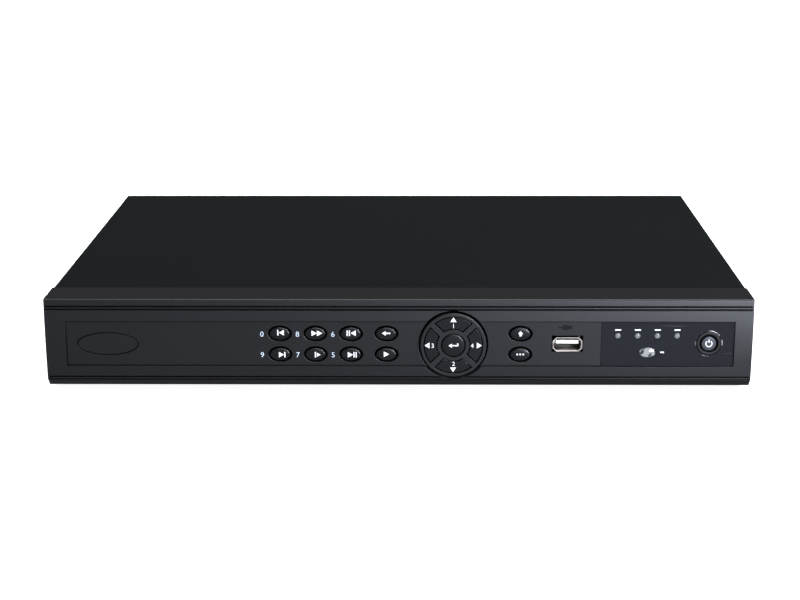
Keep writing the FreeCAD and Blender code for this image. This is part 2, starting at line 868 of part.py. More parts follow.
def make_leds():
    """Round lamps whose domes show in the window, on legs from the board."""
    lamps = []
    face = window_face - led_dome_proud
    for x in led_xs:
        length = led_length
        legs_y = face + led_length + led_collar_depth
        leg = led_leg_half
        body = rod(x, led_z, led_radius, face, face + length)
        body = round_front(body, face, led_radius - 0.35)
        collar = rod(x, led_z, led_radius + led_collar_lip, face + length, face + length + led_collar_depth)
        legs = [
            box(x + side - leg, x + side + leg, legs_y, key_board_y, led_z - leg, led_z + leg)
            for side in (-led_leg_spread, led_leg_spread)
        ]
        lamps.append(join([body, collar] + legs))
    return group(lamps)


def make_ir_lens():
    """The oval cover of the remote-control eye, with a flange behind the bezel."""
    face = window_face - 0.3
    cap = oval(ir_x, ir_z, ir_half_width, ir_half_height, face, panel_back)
    cap = round_front(cap, face, 0.8)
    flange = oval(ir_x, ir_z, ir_half_width + 1, ir_half_height + 1, panel_back, panel_back + 1)
    return join([cap, flange])


def make_ir_receiver():
    """The receiver behind the oval cover: a moulded body with a round lens and three legs."""
    back = panel_back + eye_back
    front = back - eye_body_depth
    half = eye_body_half
    body = box(ir_x - half, ir_x + half, front, back, ir_z - eye_body_rise, ir_z + eye_body_rise)
    lens = Part.makeSphere(eye_lens_radius, Vector(ir_x, front, ir_z))
    lens = lens.common(box(ir_x - half, ir_x + half, front - 4, front, ir_z - half, ir_z + half))
    legs = []
    for n in (-1, 0, 1):
        x = ir_x + n * eye_leg_pitch
        leg = eye_leg_half
        legs.append(box(x - leg, x + leg, back, key_board_y, ir_z - leg, ir_z + leg))
    return join([body, lens] + legs)


def octagon_wire(grow, corner, y):
    """The front socket's outline with its corners cut off."""
    half_x = usb_half_width + grow
    half_z = usb_half_height + grow
    quarter = [(half_x, half_z - corner), (half_x - corner, half_z)]
    outline = []
    for i, k in ((1, 1), (-1, 1), (-1, -1), (1, -1)):
        pair = [(i * x, k * z) for x, z in quarter]
        outline += pair if i * k > 0 else pair[::-1]
    corners = [Vector(usb_x + x, y, usb_z + z) for x, z in outline]
    return Part.makePolygon(corners + corners[:1])


def make_front_usb_shell():
    """The front socket's plated shell with a flared mouth."""
    mouth_y = panel_sink - 0.2
    neck_y = panel_sink + 0.7
    outside = usb_outline(usb_shell_wall, neck_y, key_board_y)
    inside = usb_outline(0, neck_y, key_board_y - usb_shell_wall)
    slant = 0.2
    outer = [
        octagon_wire(usb_shell_wall + usb_flare, usb_flare_corner, mouth_y),
        octagon_wire(usb_shell_wall, slant, neck_y),
    ]
    inner = [octagon_wire(usb_flare, usb_flare_corner, mouth_y), octagon_wire(0, slant, neck_y)]
    flare = Part.makeLoft(outer, True, True).cut(Part.makeLoft(inner, True, True))
    return join([outside.cut(inside), flare])


def make_front_usb_tongue():
    """The socket's tongue and its four contacts, standing on the shell's back wall."""
    back = key_board_y - usb_shell_wall
    half = usb_tongue_half
    z0 = usb_z + 0.1
    tip = panel_sink + usb_tongue_setback
    tongue = box(usb_x - half, usb_x + half, tip, back, z0, z0 + usb_tongue_thickness)
    base_x = usb_half_width - 0.2
    base_z = usb_half_height - 0.15
    base = box(usb_x - base_x, usb_x + base_x, back - 2.5, back, usb_z - base_z, usb_z + base_z)
    contacts = []
    for n in (-1.5, -0.5, 0.5, 1.5):
        x = usb_x + n * usb_contact_pitch
        contacts.append(box(x - 0.5, x + 0.5, tip + 0.8, back - 2, usb_z - 0.1, usb_z + 0.2))
    return join([tongue, base] + contacts)


# ---------------------------------------------------------------- tray, cover, feet
def side_screw_places():
    """Side, depth and height of the screws in the cover's sides."""
    ys = (tray_front + cover_screw_inset, rear_face - cover_screw_inset)
    return [(side, y, tray_bottom + cover_screw_height) for side in (-1, 1) for y in ys]


def rear_screw_places():
    """Places of the screws in the cover's rear lip."""
    xs = (-half_width + rear_screw_inset, 0, half_width - rear_screw_inset)
    return [(x, cover_top - rear_lip / 2) for x in xs]


def foot_places():
    """Middles of the four feet."""
    xs = (-half_width + foot_inset_x, half_width - foot_inset_x)
    ys = (tray_front + foot_inset_y, rear_face - foot_inset_y)
    return [(x, y) for x in xs for y in ys]


def rear_cutouts():
    """Openings in the rear panel for the sockets and the fan."""
    y0 = rear_inside - 1
    y1 = rear_face + 1
    gap = cutout_gap

    def opening(x, half_x, z0, z1):
        return box(x - half_x - gap, x + half_x + gap, y0, y1, z0 - gap, z1 + gap)

    cuts = [rod(x, z, video_barrel_radius + video_collar + gap, y0, y1) for x, z in socket_places()]
    cuts += [rod(audio_x, z, audio_barrel_radius + audio_collar + gap, y0, y1) for z in audio_zs]
    vga_reach = vga_half_height + vga_collar + gap
    cuts.append(opening(vga_x, vga_top_half + vga_collar + gap, vga_z - vga_reach, vga_z + vga_reach))
    cuts += [rod(x, vga_z, vga_post_radius + vga_collar, y0, y1) for x in vga_post_xs()]
    cuts.append(opening(hdmi_x, hdmi_half_width, hdmi_z - hdmi_half_height, hdmi_z + hdmi_half_height))
    cuts.append(opening(network_x, stack_half_width, board_z1, network_z + network_half_height))
    top = terminal_z + terminal_half_height
    cuts.append(opening(terminal_x, terminal_half_width, board_z1, top))
    cuts.append(opening(dc_x, dc_half, board_z1, dc_z + dc_top))
    cuts += [rod(x, z, screw_radius + screw_clearance, y0, y1) for x, z in fan_corners()]
    return cuts + fan_grille(y0, y1)


def fan_grille(y0, y1):
    """Concentric ring slots broken by four bridges."""
    bridge = 1.6
    rings = []
    for outer in (18.5, 14.2, 9.9, 5.6):
        ring = tube(fan_x, fan_z, outer, outer - 2.8, y0, y1)
        for turn in (45, 135):
            bar = box(fan_x - 20, fan_x + 20, y0, y1, fan_z - bridge, fan_z + bridge)
            bar.rotate(Vector(fan_x, 0, fan_z), Vector(0, 1, 0), turn)
            ring = ring.cut(bar)
        rings += ring.Solids
    return rings


def make_tray():
    """Folded steel tray: floor, front wall, low side walls and the full rear panel."""
    pieces = [box(-tray_half, tray_half, tray_front, rear_face, tray_bottom, tray_floor)]
    for side in (-1, 1):
        x0 = min(side * tray_half, side * (tray_half - sheet))
        pieces.append(box(x0, x0 + sheet, tray_front, rear_face, tray_bottom, tray_bottom + wall_height))
    pieces.append(box(-tray_half, tray_half, tray_front, tray_front + sheet, tray_bottom, tray_top))
    pieces.append(box(-tray_half, tray_half, rear_inside, rear_face, tray_bottom, tray_top))
    pieces += [post(x, y, standoff_radius, tray_floor, board_z0) for x, y in standoffs]
    pieces += [post(x, y, disk_boss_radius, tray_floor, disk_z0) for x, y in disk_holes]
    tray = join(pieces)

    hole = screw_radius + screw_clearance
    cuts = rear_cutouts()
    cuts += [clip(x, z, 0.2) for x, z in clip_places()]
    slot = ribbon_width / 2 + 6
    z = ribbon_z()
    cuts.append(box(nav_x - slot, nav_x + slot, tray_front - 1, tray_front + sheet + 1, z - 6, z + 6))
    for side, y, z in side_screw_places():
        start = Vector(side * (tray_half + 1), y, z)
        cuts.append(Part.makeCylinder(hole, sheet + 2, start, Vector(-side, 0, 0)))
    cuts += [rod(x, z, hole, rear_inside - 1, rear_face + 1) for x, z in rear_screw_places()]
    cuts += [post(x, y, hole, tray_bottom - 1, board_z0 + 1) for x, y in standoffs]
    cuts += [post(x, y, hole, tray_bottom - 1, disk_z0 + 1) for x, y in disk_holes]
    return tray.cut(cuts)


def vent_slots():
    """Rows of upright slots in both sides of the cover."""
    slots = []
    length = (vent_slot_count - 1) * vent_slot_pitch
    first = (tray_front + rear_face) / 2 - length / 2
    z0 = (tray_bottom + wall_height + cover_under) / 2 - vent_slot_height / 2
    for side in (-1, 1):
        x0 = side * cover_half - 2
        for n in range(vent_slot_count):
            y = first + n * vent_slot_pitch
            half = vent_slot_width / 2
            slots.append(box(x0, x0 + 4, y - half, y + half, z0, z0 + vent_slot_height))
    return slots


def make_cover():
    """The U-shaped cover with bent top edges, a rear lip and vented sides."""
    front = ledge_depth + seam
    outer = box(-cover_half, cover_half, front, case_depth, tray_bottom, cover_top)
    long_edges = [e for e in outer.Edges if e.BoundBox.YLength > 50 and e.BoundBox.ZMin > cover_top - 1e-3]
    outer = outer.makeFillet(cover_bend + sheet, long_edges)
    inner_half = cover_half - sheet
    inner = box(-inner_half, inner_half, front - 1, case_depth - sheet, tray_bottom - 1, cover_under)
    top_edges = [e for e in inner.Edges if e.BoundBox.YLength > 50 and e.BoundBox.ZMin > cover_under - 1e-3]
    inner = inner.makeFillet(cover_bend, top_edges)
    lip_z = cover_top - rear_lip
    open_rear = box(-inner_half, inner_half, case_depth - sheet - 1, case_depth + 1, tray_bottom - 1, lip_z)
    cuts = [inner, open_rear] + vent_slots()
    hole = screw_radius + screw_clearance
    for side, y, z in side_screw_places():
        face = Vector(side * cover_half, y, z)
        inwards = Vector(-side, 0, 0)
        cuts.append(Part.makeCylinder(hole, sheet + 1, face, inwards))
        cuts.append(Part.makeCone(flat_head_radius + screw_clearance, hole, flat_head_height, face, inwards))
    cuts += [rod(x, z, hole, case_depth - 2, case_depth + 1) for x, z in rear_screw_places()]
    return outer.cut(cuts)


def make_feet():
    """Turned rubber feet, stuck to the tray's underside."""
    feet = []
    for x, y in foot_places():
        foot = Part.makeCone(foot_radius - 1.2, foot_radius, tray_bottom, Vector(x, y, 0), Vector(0, 0, 1))
        feet.append(foot.cut(post(x, y, 3.0, 0, 1.2)))
    return group(feet)


def make_case_screws():
    """Pan-head screws of the cover's rear lip and of the main board."""
    screws = [screw(Vector(x, case_depth, z), Vector(0, 1, 0)) for x, z in rear_screw_places()]
    screws += [screw(Vector(x, y, board_z1), Vector(0, 0, 1)) for x, y in standoffs]
    return group(screws)


def make_side_screws():
    """Countersunk screws in the cover's sides."""
    places = side_screw_places()
    return group([flat_screw(Vector(side * cover_half, y, z), Vector(side, 0, 0)) for side, y, z in places])


def long_screw(at, outward):
    """A longer pan-head screw."""
    return screw(at, outward, head=long_screw_head, length=long_screw_length)


def make_long_screws():
    """Longer screws: from under the tray into the disk, and through the rear panel into the fan."""
    screws = [long_screw(Vector(x, y, tray_bottom), Vector(0, 0, -1)) for x, y in disk_holes]
    screws += [long_screw(Vector(x, rear_face, z), Vector(0, 1, 0)) for x, z in fan_corners()]
    return group(screws)


# ---------------------------------------------------------------- hard disk
def make_disk_base():
    """The cast base of the disk, hollowed for its board on the underside."""
    base = box(disk_x0, disk_x1, disk_y0, disk_y1, disk_z0, disk_z1 - disk_lid)
    uprights = [e for e in base.Edges if e.BoundBox.ZLength > 5]
    base = base.makeFillet(3.0, uprights)
    middle = (disk_x0 + disk_x1) / 2
    half = disk_hole_span / 2 - 6
    roof = disk_z0 + disk_board + 3
    pocket = box(middle - half, middle + half, disk_y1 - 95, disk_y1 + 1, disk_z0 - 1, roof)
    holes = [post(x, y, screw_radius + screw_clearance, disk_z0 - 1, disk_z0 + 4.5) for x, y in disk_holes]
    return base.cut([pocket] + holes)


def make_disk_lid():
    """The steel lid with a raised disc over the platters."""
    inset = 2.0
    y0 = disk_y0 + inset
    y1 = disk_y1 - inset
    plate = box(disk_x0 + inset, disk_x1 - inset, y0, y1, disk_z1 - disk_lid, disk_z1 - disk_lid / 2)
    plate = plate.makeFillet(4.0, [e for e in plate.Edges if e.BoundBox.ZLength > disk_lid / 4])
    middle = (disk_x0 + disk_x1) / 2
    disc = post(middle, disk_y0 + disk_width / 2, disk_width / 2 - 7, disk_z1 - disk_lid / 2, disk_z1)
    return join([plate, disc])


def make_disk_board():
    """The disk's own board with its data and power plugs at the end."""
    middle = (disk_x0 + disk_x1) / 2
    half = disk_hole_span / 2 - 7
    z0 = disk_z0 + 1
    roof = disk_z0 + disk_board + 3
    board = box(middle - half, middle + half, disk_y1 - 94, disk_y1 - 1, z0, z0 + disk_board)
    plug = box(disk_plug_x() - 22, disk_plug_x() + 22, disk_y1 - 7, disk_y1 - 1, z0 + disk_board, roof)
    return join([board, plug])


def disk_plug_x():
    """Middle of the disk's plugs."""
    return (disk_x0 + disk_x1) / 2


# ---------------------------------------------------------------- main board
def make_main_board():
    """The main board with a hole over each standoff."""
    board = box(board_x0, board_x1, board_y0, board_y1, board_z0, board_z1)
    holes = [post(x, y, screw_radius + screw_clearance, board_z0 - 1, board_z1 + 1) for x, y in standoffs]
    return board.cut(holes)


def on_board(x, y, size_x, size_y, height):
    """A block standing on the main board, measured from its front left corner."""
    x0 = board_x0 + x
    y0 = board_y0 + y
    return box(x0, x0 + size_x, y0, y0 + size_y, board_z1, board_z1 + height)


def make_chips():
    """The processor under the heat sink, memory and video decoders."""
    x, y = heat_sink_place
    chips = [on_board(x + 6, y + 6, 28, 28, chip_height)]
    chips += [on_board(x + 8 + n * 16, y - 16, 10, 12, 1.2) for n in range(2)]
    chips += [on_board(24, 30 + n * 20, 14, 14, 1.4) for n in range(3)]
    chips.append(on_board(124, 40, 16, 12, 1.4))
    return group(chips)


def make_heat_sink():
    """A finned aluminium block on the processor."""
    x, y = heat_sink_place
    bottom = board_z1 + chip_height
    x0 = board_x0 + x
    y0 = board_y0 + y
    base = box(x0, x0 + heat_sink_size, y0, y0 + heat_sink_size, bottom, bottom + heat_sink_base)
    fins = []
    for n in range(fin_count):
        fin_x = x0 + n * fin_pitch
        fin_z = bottom + heat_sink_base
        top = bottom + heat_sink_height
        fins.append(box(fin_x, fin_x + fin_thickness, y0, y0 + heat_sink_size, fin_z, top))
    return join([base] + fins)


def make_capacitors():
    """Round electrolytic capacitors near the supply inlet."""
    cans = []
    top = board_z1 + capacitor_height
    for x, y in capacitor_places:
        can = post(board_x0 + x, board_y0 + y, capacitor_radius, board_z1, top)
        cans.append(can.makeFillet(0.5, [e for e in can.Edges if e.BoundBox.ZMin > top - 0.1]))
    return group(cans)


def make_battery_holder():
    """The round cup that holds the clock's cell."""
    x = board_x0 + battery_place[0]
    y = board_y0 + battery_place[1]
    floor = board_z1 + battery_floor
    cup = post(x, y, battery_radius + 1.5, board_z1, floor + battery_height + 0.2)
    return cup.cut(post(x, y, battery_radius + 0.15, floor, floor + battery_height + 1))


def make_battery():
    """The coin cell of the clock."""
    x = board_x0 + battery_place[0]
    y = board_y0 + battery_place[1]
    floor = board_z1 + battery_floor
    can = post(x, y, battery_radius, floor, floor + battery_height)
    return can.makeFillet(0.4, [e for e in can.Edges if e.BoundBox.ZMin > floor + battery_height - 0.1])


def ribbon_z():
    """Height at which the ribbon leaves the front board."""
    return panel_mid + ribbon_rise


def make_headers():
    """Cable headers: data, drive power, fan, and the two of the front board's ribbon."""
    top = board_z1 + header_height
    headers = []
    for y, half in ((data_y, 3.5), (power_y, 3.5), (fan_lead_y, 2.5)):
        headers.append(box(board_x0, board_x0 + header_depth, y - half, y + half, board_z1, top))
    half = ribbon_width / 2 + 1
    z = ribbon_z()
    headers.append(box(nav_x - half, nav_x + half, board_y0, board_y0 + header_depth, board_z1, top))
    headers.append(box(nav_x - half, nav_x + half, key_board_back, key_board_back + 4, z - 3, z + 3))
    return group(headers)


def disk_lead(x, half_width_of_plug, turn_y, radius):
    """A lead from a plug in the disk's underside pocket to a plug at the main board's header."""
    z = disk_z0 + disk_board + 1 + plug_half_height + slip
    inside = disk_y1 - 1.0
    end_y = inside + 1 + plug_length
    half = half_width_of_plug
    disk_plug = box(x - half, x + half, inside, end_y, z - plug_half_height, z + plug_half_height)
    board_plug = box(board_x0 - plug_length, board_x0, turn_y - 2.5, turn_y + 2.5, cable_z - 2, cable_z + 2)
    start = Vector(x, inside + plug_length, z)
    end = Vector(board_x0 - 1.0, turn_y, cable_z)
    lead = round_cable([start, Vector(x, turn_y, z), end], radius)
    return join([lead, disk_plug, board_plug])


def make_data_cable():
    """The data lead from the disk to the main board."""
    return disk_lead(disk_plug_x() - 12, 5.0, data_y, data_radius)


def make_power_leads():
    """The disk's supply lead and the fan's lead."""
    supply = disk_lead(disk_plug_x() + 10, 8.0, power_y, power_lead_radius)
    start = Vector(fan_x + fan_size / 2, fan_y0 + 3, fan_z - 12)
    bend = Vector((start.x + board_x0) / 2 - 12, fan_y0 + 3, fan_z - 12)
    turn = Vector(board_x0 - 18, fan_lead_y, cable_z)
    end = Vector(board_x0, fan_lead_y, cable_z)
    return group([supply, round_cable([start, bend, turn, end], fan_lead_radius)])


def make_ribbon():
    """The flat cable from the front board to the main board."""
    x0 = nav_x - ribbon_width / 2
    start_y = key_board_back + 4
    drop = (board_y0 - start_y) / 3
    points = [
        Vector(x0, start_y, ribbon_z()),
        Vector(x0, start_y + drop, ribbon_z()),
        Vector(x0, board_y0 - drop, cable_z),
        Vector(x0, board_y0, cable_z),
    ]
    half = ribbon_thickness / 2
    corners = [(0, -half), (ribbon_width, -half), (ribbon_width, half), (0, half), (0, -half)]
    section = Part.makePolygon([points[0] + Vector(dx, 0, dz) for dx, dz in corners])
    return bent_path(points).makePipeShell([section], True, False)


# ---------------------------------------------------------------- rear sockets
def socket_places():
    """Axes of the video sockets, as (x, z)."""
    return [(x, z) for x in video_xs for z in video_zs]


def make_housings():
    """Plastic blocks that hold the video and the audio sockets on the board."""
    back = rear_inside
    half = video_pitch_x / 2 - slip
    top = video_zs[-1] + video_barrel_radius + 2.2
    video = box(video_xs[-1] - half, video_xs[0] + half, back - video_housing_depth, back, board_z1, top)
    seat = video_barrel_radius + 0.05
    video = video.cut([rod(x, z, seat, back - video_barrel_behind, back + 1) for x, z in socket_places()])
    half = audio_housing_half
    top = audio_zs[-1] + audio_barrel_radius + 1.85
    audio = box(audio_x - half, audio_x + half, back - audio_housing_depth, back, board_z1, top)
    seat = audio_barrel_radius + 0.05
    audio = audio.cut([rod(audio_x, z, seat, back - audio_barrel_behind, back + 1) for z in audio_zs])
    return group([video, audio])


def make_video_shells():
    """Bayonet sockets: collar, barrel with two lugs, hollow inside."""
    shells = []
    end = rear_face + video_barrel_reach
    start = rear_inside - video_barrel_behind
    lug_reach = video_barrel_radius + 1.1
    for x, z in socket_places():
        barrel = rod(x, z, video_barrel_radius, start, end)
        collar = rod(x, z, video_barrel_radius + video_collar, rear_inside, rear_face + 2.2)
        lug = Part.makeCylinder(1.0, 2 * lug_reach, Vector(x, end - 3.6, z - lug_reach))
        shell = join([barrel, collar, lug])
        shells.append(shell.cut(rod(x, z, video_barrel_radius - video_wall, start + 1, end + 1)))
    return group(shells)


def make_video_inserts():
    """White insulators with their centre contacts, deep in the sockets."""
    inserts = []
    end = rear_face + video_barrel_reach
    radius = video_barrel_radius - video_wall
    for x, z in socket_places():
        disc = rod(x, z, radius, rear_inside - video_barrel_behind + 1, rear_face + 2)
        sleeve = rod(x, z, 1.9, rear_face + 2, end - 3).cut(rod(x, z, 0.7, rear_face + 3, end))
        inserts.append(join([disc, sleeve]))
    return group(inserts)


def make_audio_barrels():
    """Plated audio sockets with a collar at the panel."""
    barrels = []
    end = rear_face + audio_barrel_reach
    for z in audio_zs:
        barrel = rod(audio_x, z, audio_barrel_radius, rear_inside - audio_barrel_behind, end)
        collar = rod(audio_x, z, audio_barrel_radius + audio_collar, rear_inside, rear_face + 0.9)
        bore = rod(audio_x, z, audio_bore, rear_face + 0.5, end + 1)
        barrels.append(join([barrel, collar]).cut(bore))
    return group(barrels)


def vga_post_xs():
    """The two threaded posts of the display socket."""
    return (vga_x - vga_post_span / 2, vga_x + vga_post_span / 2)


def vga_outline(grow, y0, y1):
    """The slanted D outline of the display socket."""
    top = vga_top_half + grow
    bottom = vga_bottom_half + grow
    half = vga_half_height + grow
    corners = [(-bottom, -half), (bottom, -half), (top, half), (-top, half)]
    return prism_y([(vga_x + x, vga_z + z) for x, z in corners], y0, y1)


def vga_back(depth, y1):
    """The block behind the display socket's face, standing on the board."""
    top = vga_z + vga_half_height + 2.1
    return box(vga_x - vga_flange_half, vga_x + vga_flange_half, rear_inside - depth, y1, board_z1, top)


def make_vga_shell():
    """The display socket's metal flange, D-shaped collar and two threaded posts."""
    plate_back = rear_inside - 1.0
    flange = vga_back(1.0, rear_inside)
    collar = vga_outline(vga_collar, plate_back, rear_face + 5.0)
    shell = join([flange, collar]).cut(vga_outline(0, plate_back - 1, rear_face + 6))
    posts = [rod(x, vga_z, vga_post_radius, rear_inside, rear_face + 4.5) for x in vga_post_xs()]
    shell = join([shell] + posts)
    return shell.cut([rod(x, vga_z, vga_post_hole, plate_back - 1, rear_face + 6) for x in vga_post_xs()])


def make_vga_insert():
    """The display socket's plastic insert with fifteen contact holes, and its body behind."""
    body = vga_back(vga_body_depth, rear_inside - 1)
    face = vga_outline(-0.05, rear_inside - 1, rear_face + 4.2)
    shape = join([body, face])
    cuts = []
    for row, shift in ((-2.0, 0.0), (0.0, 1.15), (2.0, 0.0)):
        for n in range(-2, 3):
            x = vga_x + n * 2.3 + shift - 0.5
            cuts.append(rod(x, vga_z + row, 0.5, rear_face, rear_face + 5))
    back = rear_inside - vga_body_depth - 1
    cuts += [rod(x, vga_z, vga_post_hole, back, rear_inside) for x in vga_post_xs()]
    return shape.cut(cuts)


def hdmi_outline(shrink, y0, y1):
    """The digital video socket's outline with its lower corners cut off."""
    half_x = hdmi_half_width - shrink
    half_z = hdmi_half_height - shrink
    inner = half_x - hdmi_corner
    knee = hdmi_corner - half_z
    right = [(inner, -half_z), (half_x, knee), (half_x, half_z)]
    left = [(-half_x, half_z), (-half_x, knee), (-inner, -half_z)]
    corners = right + left
    return prism_y([(hdmi_x + x, hdmi_z + z) for x, z in corners], y0, y1)


def make_hdmi():
    """The digital video socket: a folded shell and a tongue, on feet."""
    front = rear_inside - hdmi_depth
    shell = hdmi_outline(0, front, rear_face + 0.8).cut(hdmi_outline(hdmi_wall, front + 1, rear_face + 2))
    half = hdmi_half_width - 2.0
    tongue = box(hdmi_x - half, hdmi_x + half, front + 1, rear_face - 1, hdmi_z - 0.4, hdmi_z + 0.7)
    half = hdmi_half_width - hdmi_corner
    feet = box(hdmi_x - half, hdmi_x + half, front, rear_inside - 2, board_z1, hdmi_z - hdmi_half_height)
    return join([shell, tongue, feet])


def network_cavity():
    """The plug opening of the network socket."""
    half_x = network_opening_half_width
    half_z = network_opening_half_height
    y0 = rear_face - network_opening_depth
    x0 = network_x - half_x
    return box(x0, x0 + 2 * half_x, y0, rear_face + 2, network_z - half_z, network_z + half_z)


def make_network_socket():
    """The shielded network socket on top of the USB stack, with its latch notch and contacts."""
    half = stack_half_width
    y0 = rear_inside - stack_depth
    top = network_z + network_half_height
    body = box(network_x - half, network_x + half, y0, rear_face + stack_proud, network_bottom, top)
    notch = box(network_x - 2.0, network_x + 2.0, rear_face - 12, rear_face + 2, network_z - 5.4, network_z)
    body = body.cut([network_cavity(), notch])
    roof = network_z + network_opening_half_height
    pins = []
    for n in range(8):
        x = network_x + (n - 3.5) * network_pin_pitch
        pins.append(box(x - 0.2, x + 0.2, rear_face - network_opening_depth, rear_face - 4, roof - 0.9, roof))
    return join([body] + pins)


def make_rear_usb():
    """Two stacked USB sockets in one shell under the network socket."""
    half = stack_half_width
    front = rear_inside - stack_depth
    shape = box(network_x - half, network_x + half, front, rear_face + stack_proud, board_z1, network_bottom)
    half_x = usb_opening_half_width
    half_z = usb_opening_half_height
    for z in usb_zs:
        x0 = network_x - half_x
        shape = shape.cut(box(x0, x0 + 2 * half_x, front + 3, rear_face + 2, z - half_z, z + half_z))
        tongue_x = half_x - 0.8
        tongue = box(network_x - tongue_x, network_x + tongue_x, front + 3, rear_face - 1.5, z + 0.2, z + 1.9)
        shape = join([shape, tongue])
    return shape


def make_terminal_block():
    """The screw terminals for control wires."""
    half = terminal_half_width
    top = terminal_z + terminal_half_height
    y0 = rear_inside - terminal_depth
    body = box(terminal_x - half, terminal_x + half, y0, rear_face + terminal_proud, board_z1, top)
    cuts = []
    for n in range(terminal_ways):
        x = terminal_x + (n - (terminal_ways - 1) / 2) * terminal_pitch
        cuts.append(box(x - 1.2, x + 1.2, rear_face - 3, rear_face + 4, terminal_z - 3.8, terminal_z - 0.8))
        cuts.append(rod(x, terminal_z + 2.2, 1.4, rear_face + 1, rear_face + 4))
    return body.cut(cuts)


def make_dc_jack():
    """The supply socket with its centre pin."""
    y0 = rear_inside - dc_depth
    body = box(dc_x - dc_half, dc_x + dc_half, y0, rear_face + stack_proud, board_z1, dc_z + dc_top)
    bore = tube(dc_x, dc_z, dc_bore, dc_pin, rear_face - 9, rear_face + 2)
    pin_end = rod(dc_x, dc_z, dc_pin, rear_face - 0.5, rear_face + 2)
    return body.cut([bore, pin_end])


# ---------------------------------------------------------------- fan
def fan_corners():
    """Middles of the fan's four mounting holes."""
    half = fan_hole_span / 2
    return [(fan_x + i * half, fan_z + k * half) for i in (-1, 1) for k in (-1, 1)]


def make_fan_frame():
    """The square frame with its bore, motor seat, three arms and bearing tube."""
    half = fan_size / 2
    frame = box(fan_x - half, fan_x + half, fan_y0, fan_y1, fan_z - half, fan_z + half)
    frame = frame.makeFillet(3.0, [e for e in frame.Edges if e.BoundBox.YLength > fan_thickness - 0.1])
    cuts = [rod(fan_x, fan_z, fan_bore, fan_y0 - 1, fan_y1 + 1)]
    cuts += [rod(x, z, screw_radius + screw_clearance, fan_y0 - 1, fan_y1 + 1) for x, z in fan_corners()]
    frame = frame.cut(cuts)
    seat = rod(fan_x, fan_z, fan_hub_radius - 1, fan_y0, fan_y0 + 1.2)
    arms = []
    for turn in (90, 210, 330):
        arm = box(fan_x, fan_x + fan_bore + 0.5, fan_y0, fan_y0 + 1.2, fan_z - 1.2, fan_z + 1.2)
        arm.rotate(Vector(fan_x, 0, fan_z), Vector(0, 1, 0), turn)
        arms.append(arm)
    bearing = rod(fan_x, fan_z, 2.6, fan_y0 + 1.2, fan_y1 - 3.5)
    shape = join([frame, seat, bearing] + arms)
    bore = rod(fan_x, fan_z, fan_shaft_radius + fan_shaft_clearance, fan_y0 + 0.6, fan_y1)
    return shape.cut(bore)


def make_fan_rotor():
    """The hub cup with its shaft and pitched blades."""
    rim_front = fan_y0 + 1.8
    rim_back = fan_y1 - 0.8
    hub = rod(fan_x, fan_z, fan_hub_radius, rim_front, rim_back)
    hub = hub.cut(rod(fan_x, fan_z, fan_hub_radius - 1.2, rim_front - 1, rim_back - 1.5))
    shaft = rod(fan_x, fan_z, fan_shaft_radius, fan_y0 + 1, rim_back - 1)
    blades = []
    middle = (rim_front + rim_back) / 2
    for n in range(fan_blade_count):
        root = fan_x + fan_hub_radius - 0.6
        tip = fan_x + fan_blade_reach - 0.4
        blade = box(root, tip, middle - 0.4, middle + 0.4, fan_z - 4.2, fan_z + 4.2)
        blade.rotate(Vector(fan_x, middle, fan_z), Vector(1, 0, 0), 38)
        blade.rotate(Vector(fan_x, middle, fan_z), Vector(0, 1, 0), n * 360 / fan_blade_count)
        blades.append(blade)
    return join([hub, shaft] + blades)


# ---------------------------------------------------------------- all nodes
def all_nodes():
    """Every separate piece or group of like pieces, by name."""
    nodes = {
        "front_bezel": make_bezel(),
        "display_window": make_window(),
        "nav_ring": make_nav_ring(),
        "power_ring": make_power_ring(),
        "key_enter": make_enter(),
        "power_button": make_power_button(),
        "key_board": make_key_board(),
        "key_board_screws": make_key_board_screws(),
        "tact_switches": make_switches(),
        "status_leds": make_leds(),
        "ir_lens": make_ir_lens(),
        "ir_receiver": make_ir_receiver(),
        "front_usb_shell": make_front_usb_shell(),
        "front_usb_tongue": make_front_usb_tongue(),
        "chassis_tray": make_tray(),
        "top_cover": make_cover(),
        "rubber_feet": make_feet(),
        "case_screws": make_case_screws(),
        "side_screws": make_side_screws(),
        "long_screws": make_long_screws(),
        "disk_base": make_disk_base(),
        "disk_lid": make_disk_lid(),
        "disk_board": make_disk_board(),
        "main_board": make_main_board(),
        "board_chips": make_chips(),
        "heat_sink": make_heat_sink(),
        "board_capacitors": make_capacitors(),
        "battery_holder": make_battery_holder(),
        "clock_battery": make_battery(),
        "board_headers": make_headers(),
        "disk_data_cable": make_data_cable(),
        "power_leads": make_power_leads(),
        "key_ribbon_cable": make_ribbon(),
        "socket_housings": make_housings(),
        "video_sockets": make_video_shells(),
        "video_socket_inserts": make_video_inserts(),
        "audio_sockets": make_audio_barrels(),
        "vga_socket": make_vga_shell(),
        "vga_insert": make_vga_insert(),
        "hdmi_socket": make_hdmi(),
        "network_socket": make_network_socket(),
        "rear_usb_sockets": make_rear_usb(),
        "terminal_block": make_terminal_block(),
        "dc_jack": make_dc_jack(),
        "fan_frame": make_fan_frame(),
        "fan_rotor": make_fan_rotor(),
    }
    for name, (x, z) in OVAL_KEYS.items():
        nodes[name] = oval_key(x, z)
    for name, turn in NAV_KEYS.items():
        nodes[name] = nav_key(turn)
    return nodes


os.makedirs("parts", exist_ok=True)
for node_name, node_shape in all_nodes().items():
    node_shape.translate(Vector(0, -middle_y, 0))
    if not node_shape.isValid():
        raise ValueError(node_name + " is not a valid shape")
    node_shape.exportStep("parts/" + node_name + ".step")
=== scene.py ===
"""Looks of a desktop video recorder: moulded front, keys, legends, coated case, sockets, stage."""

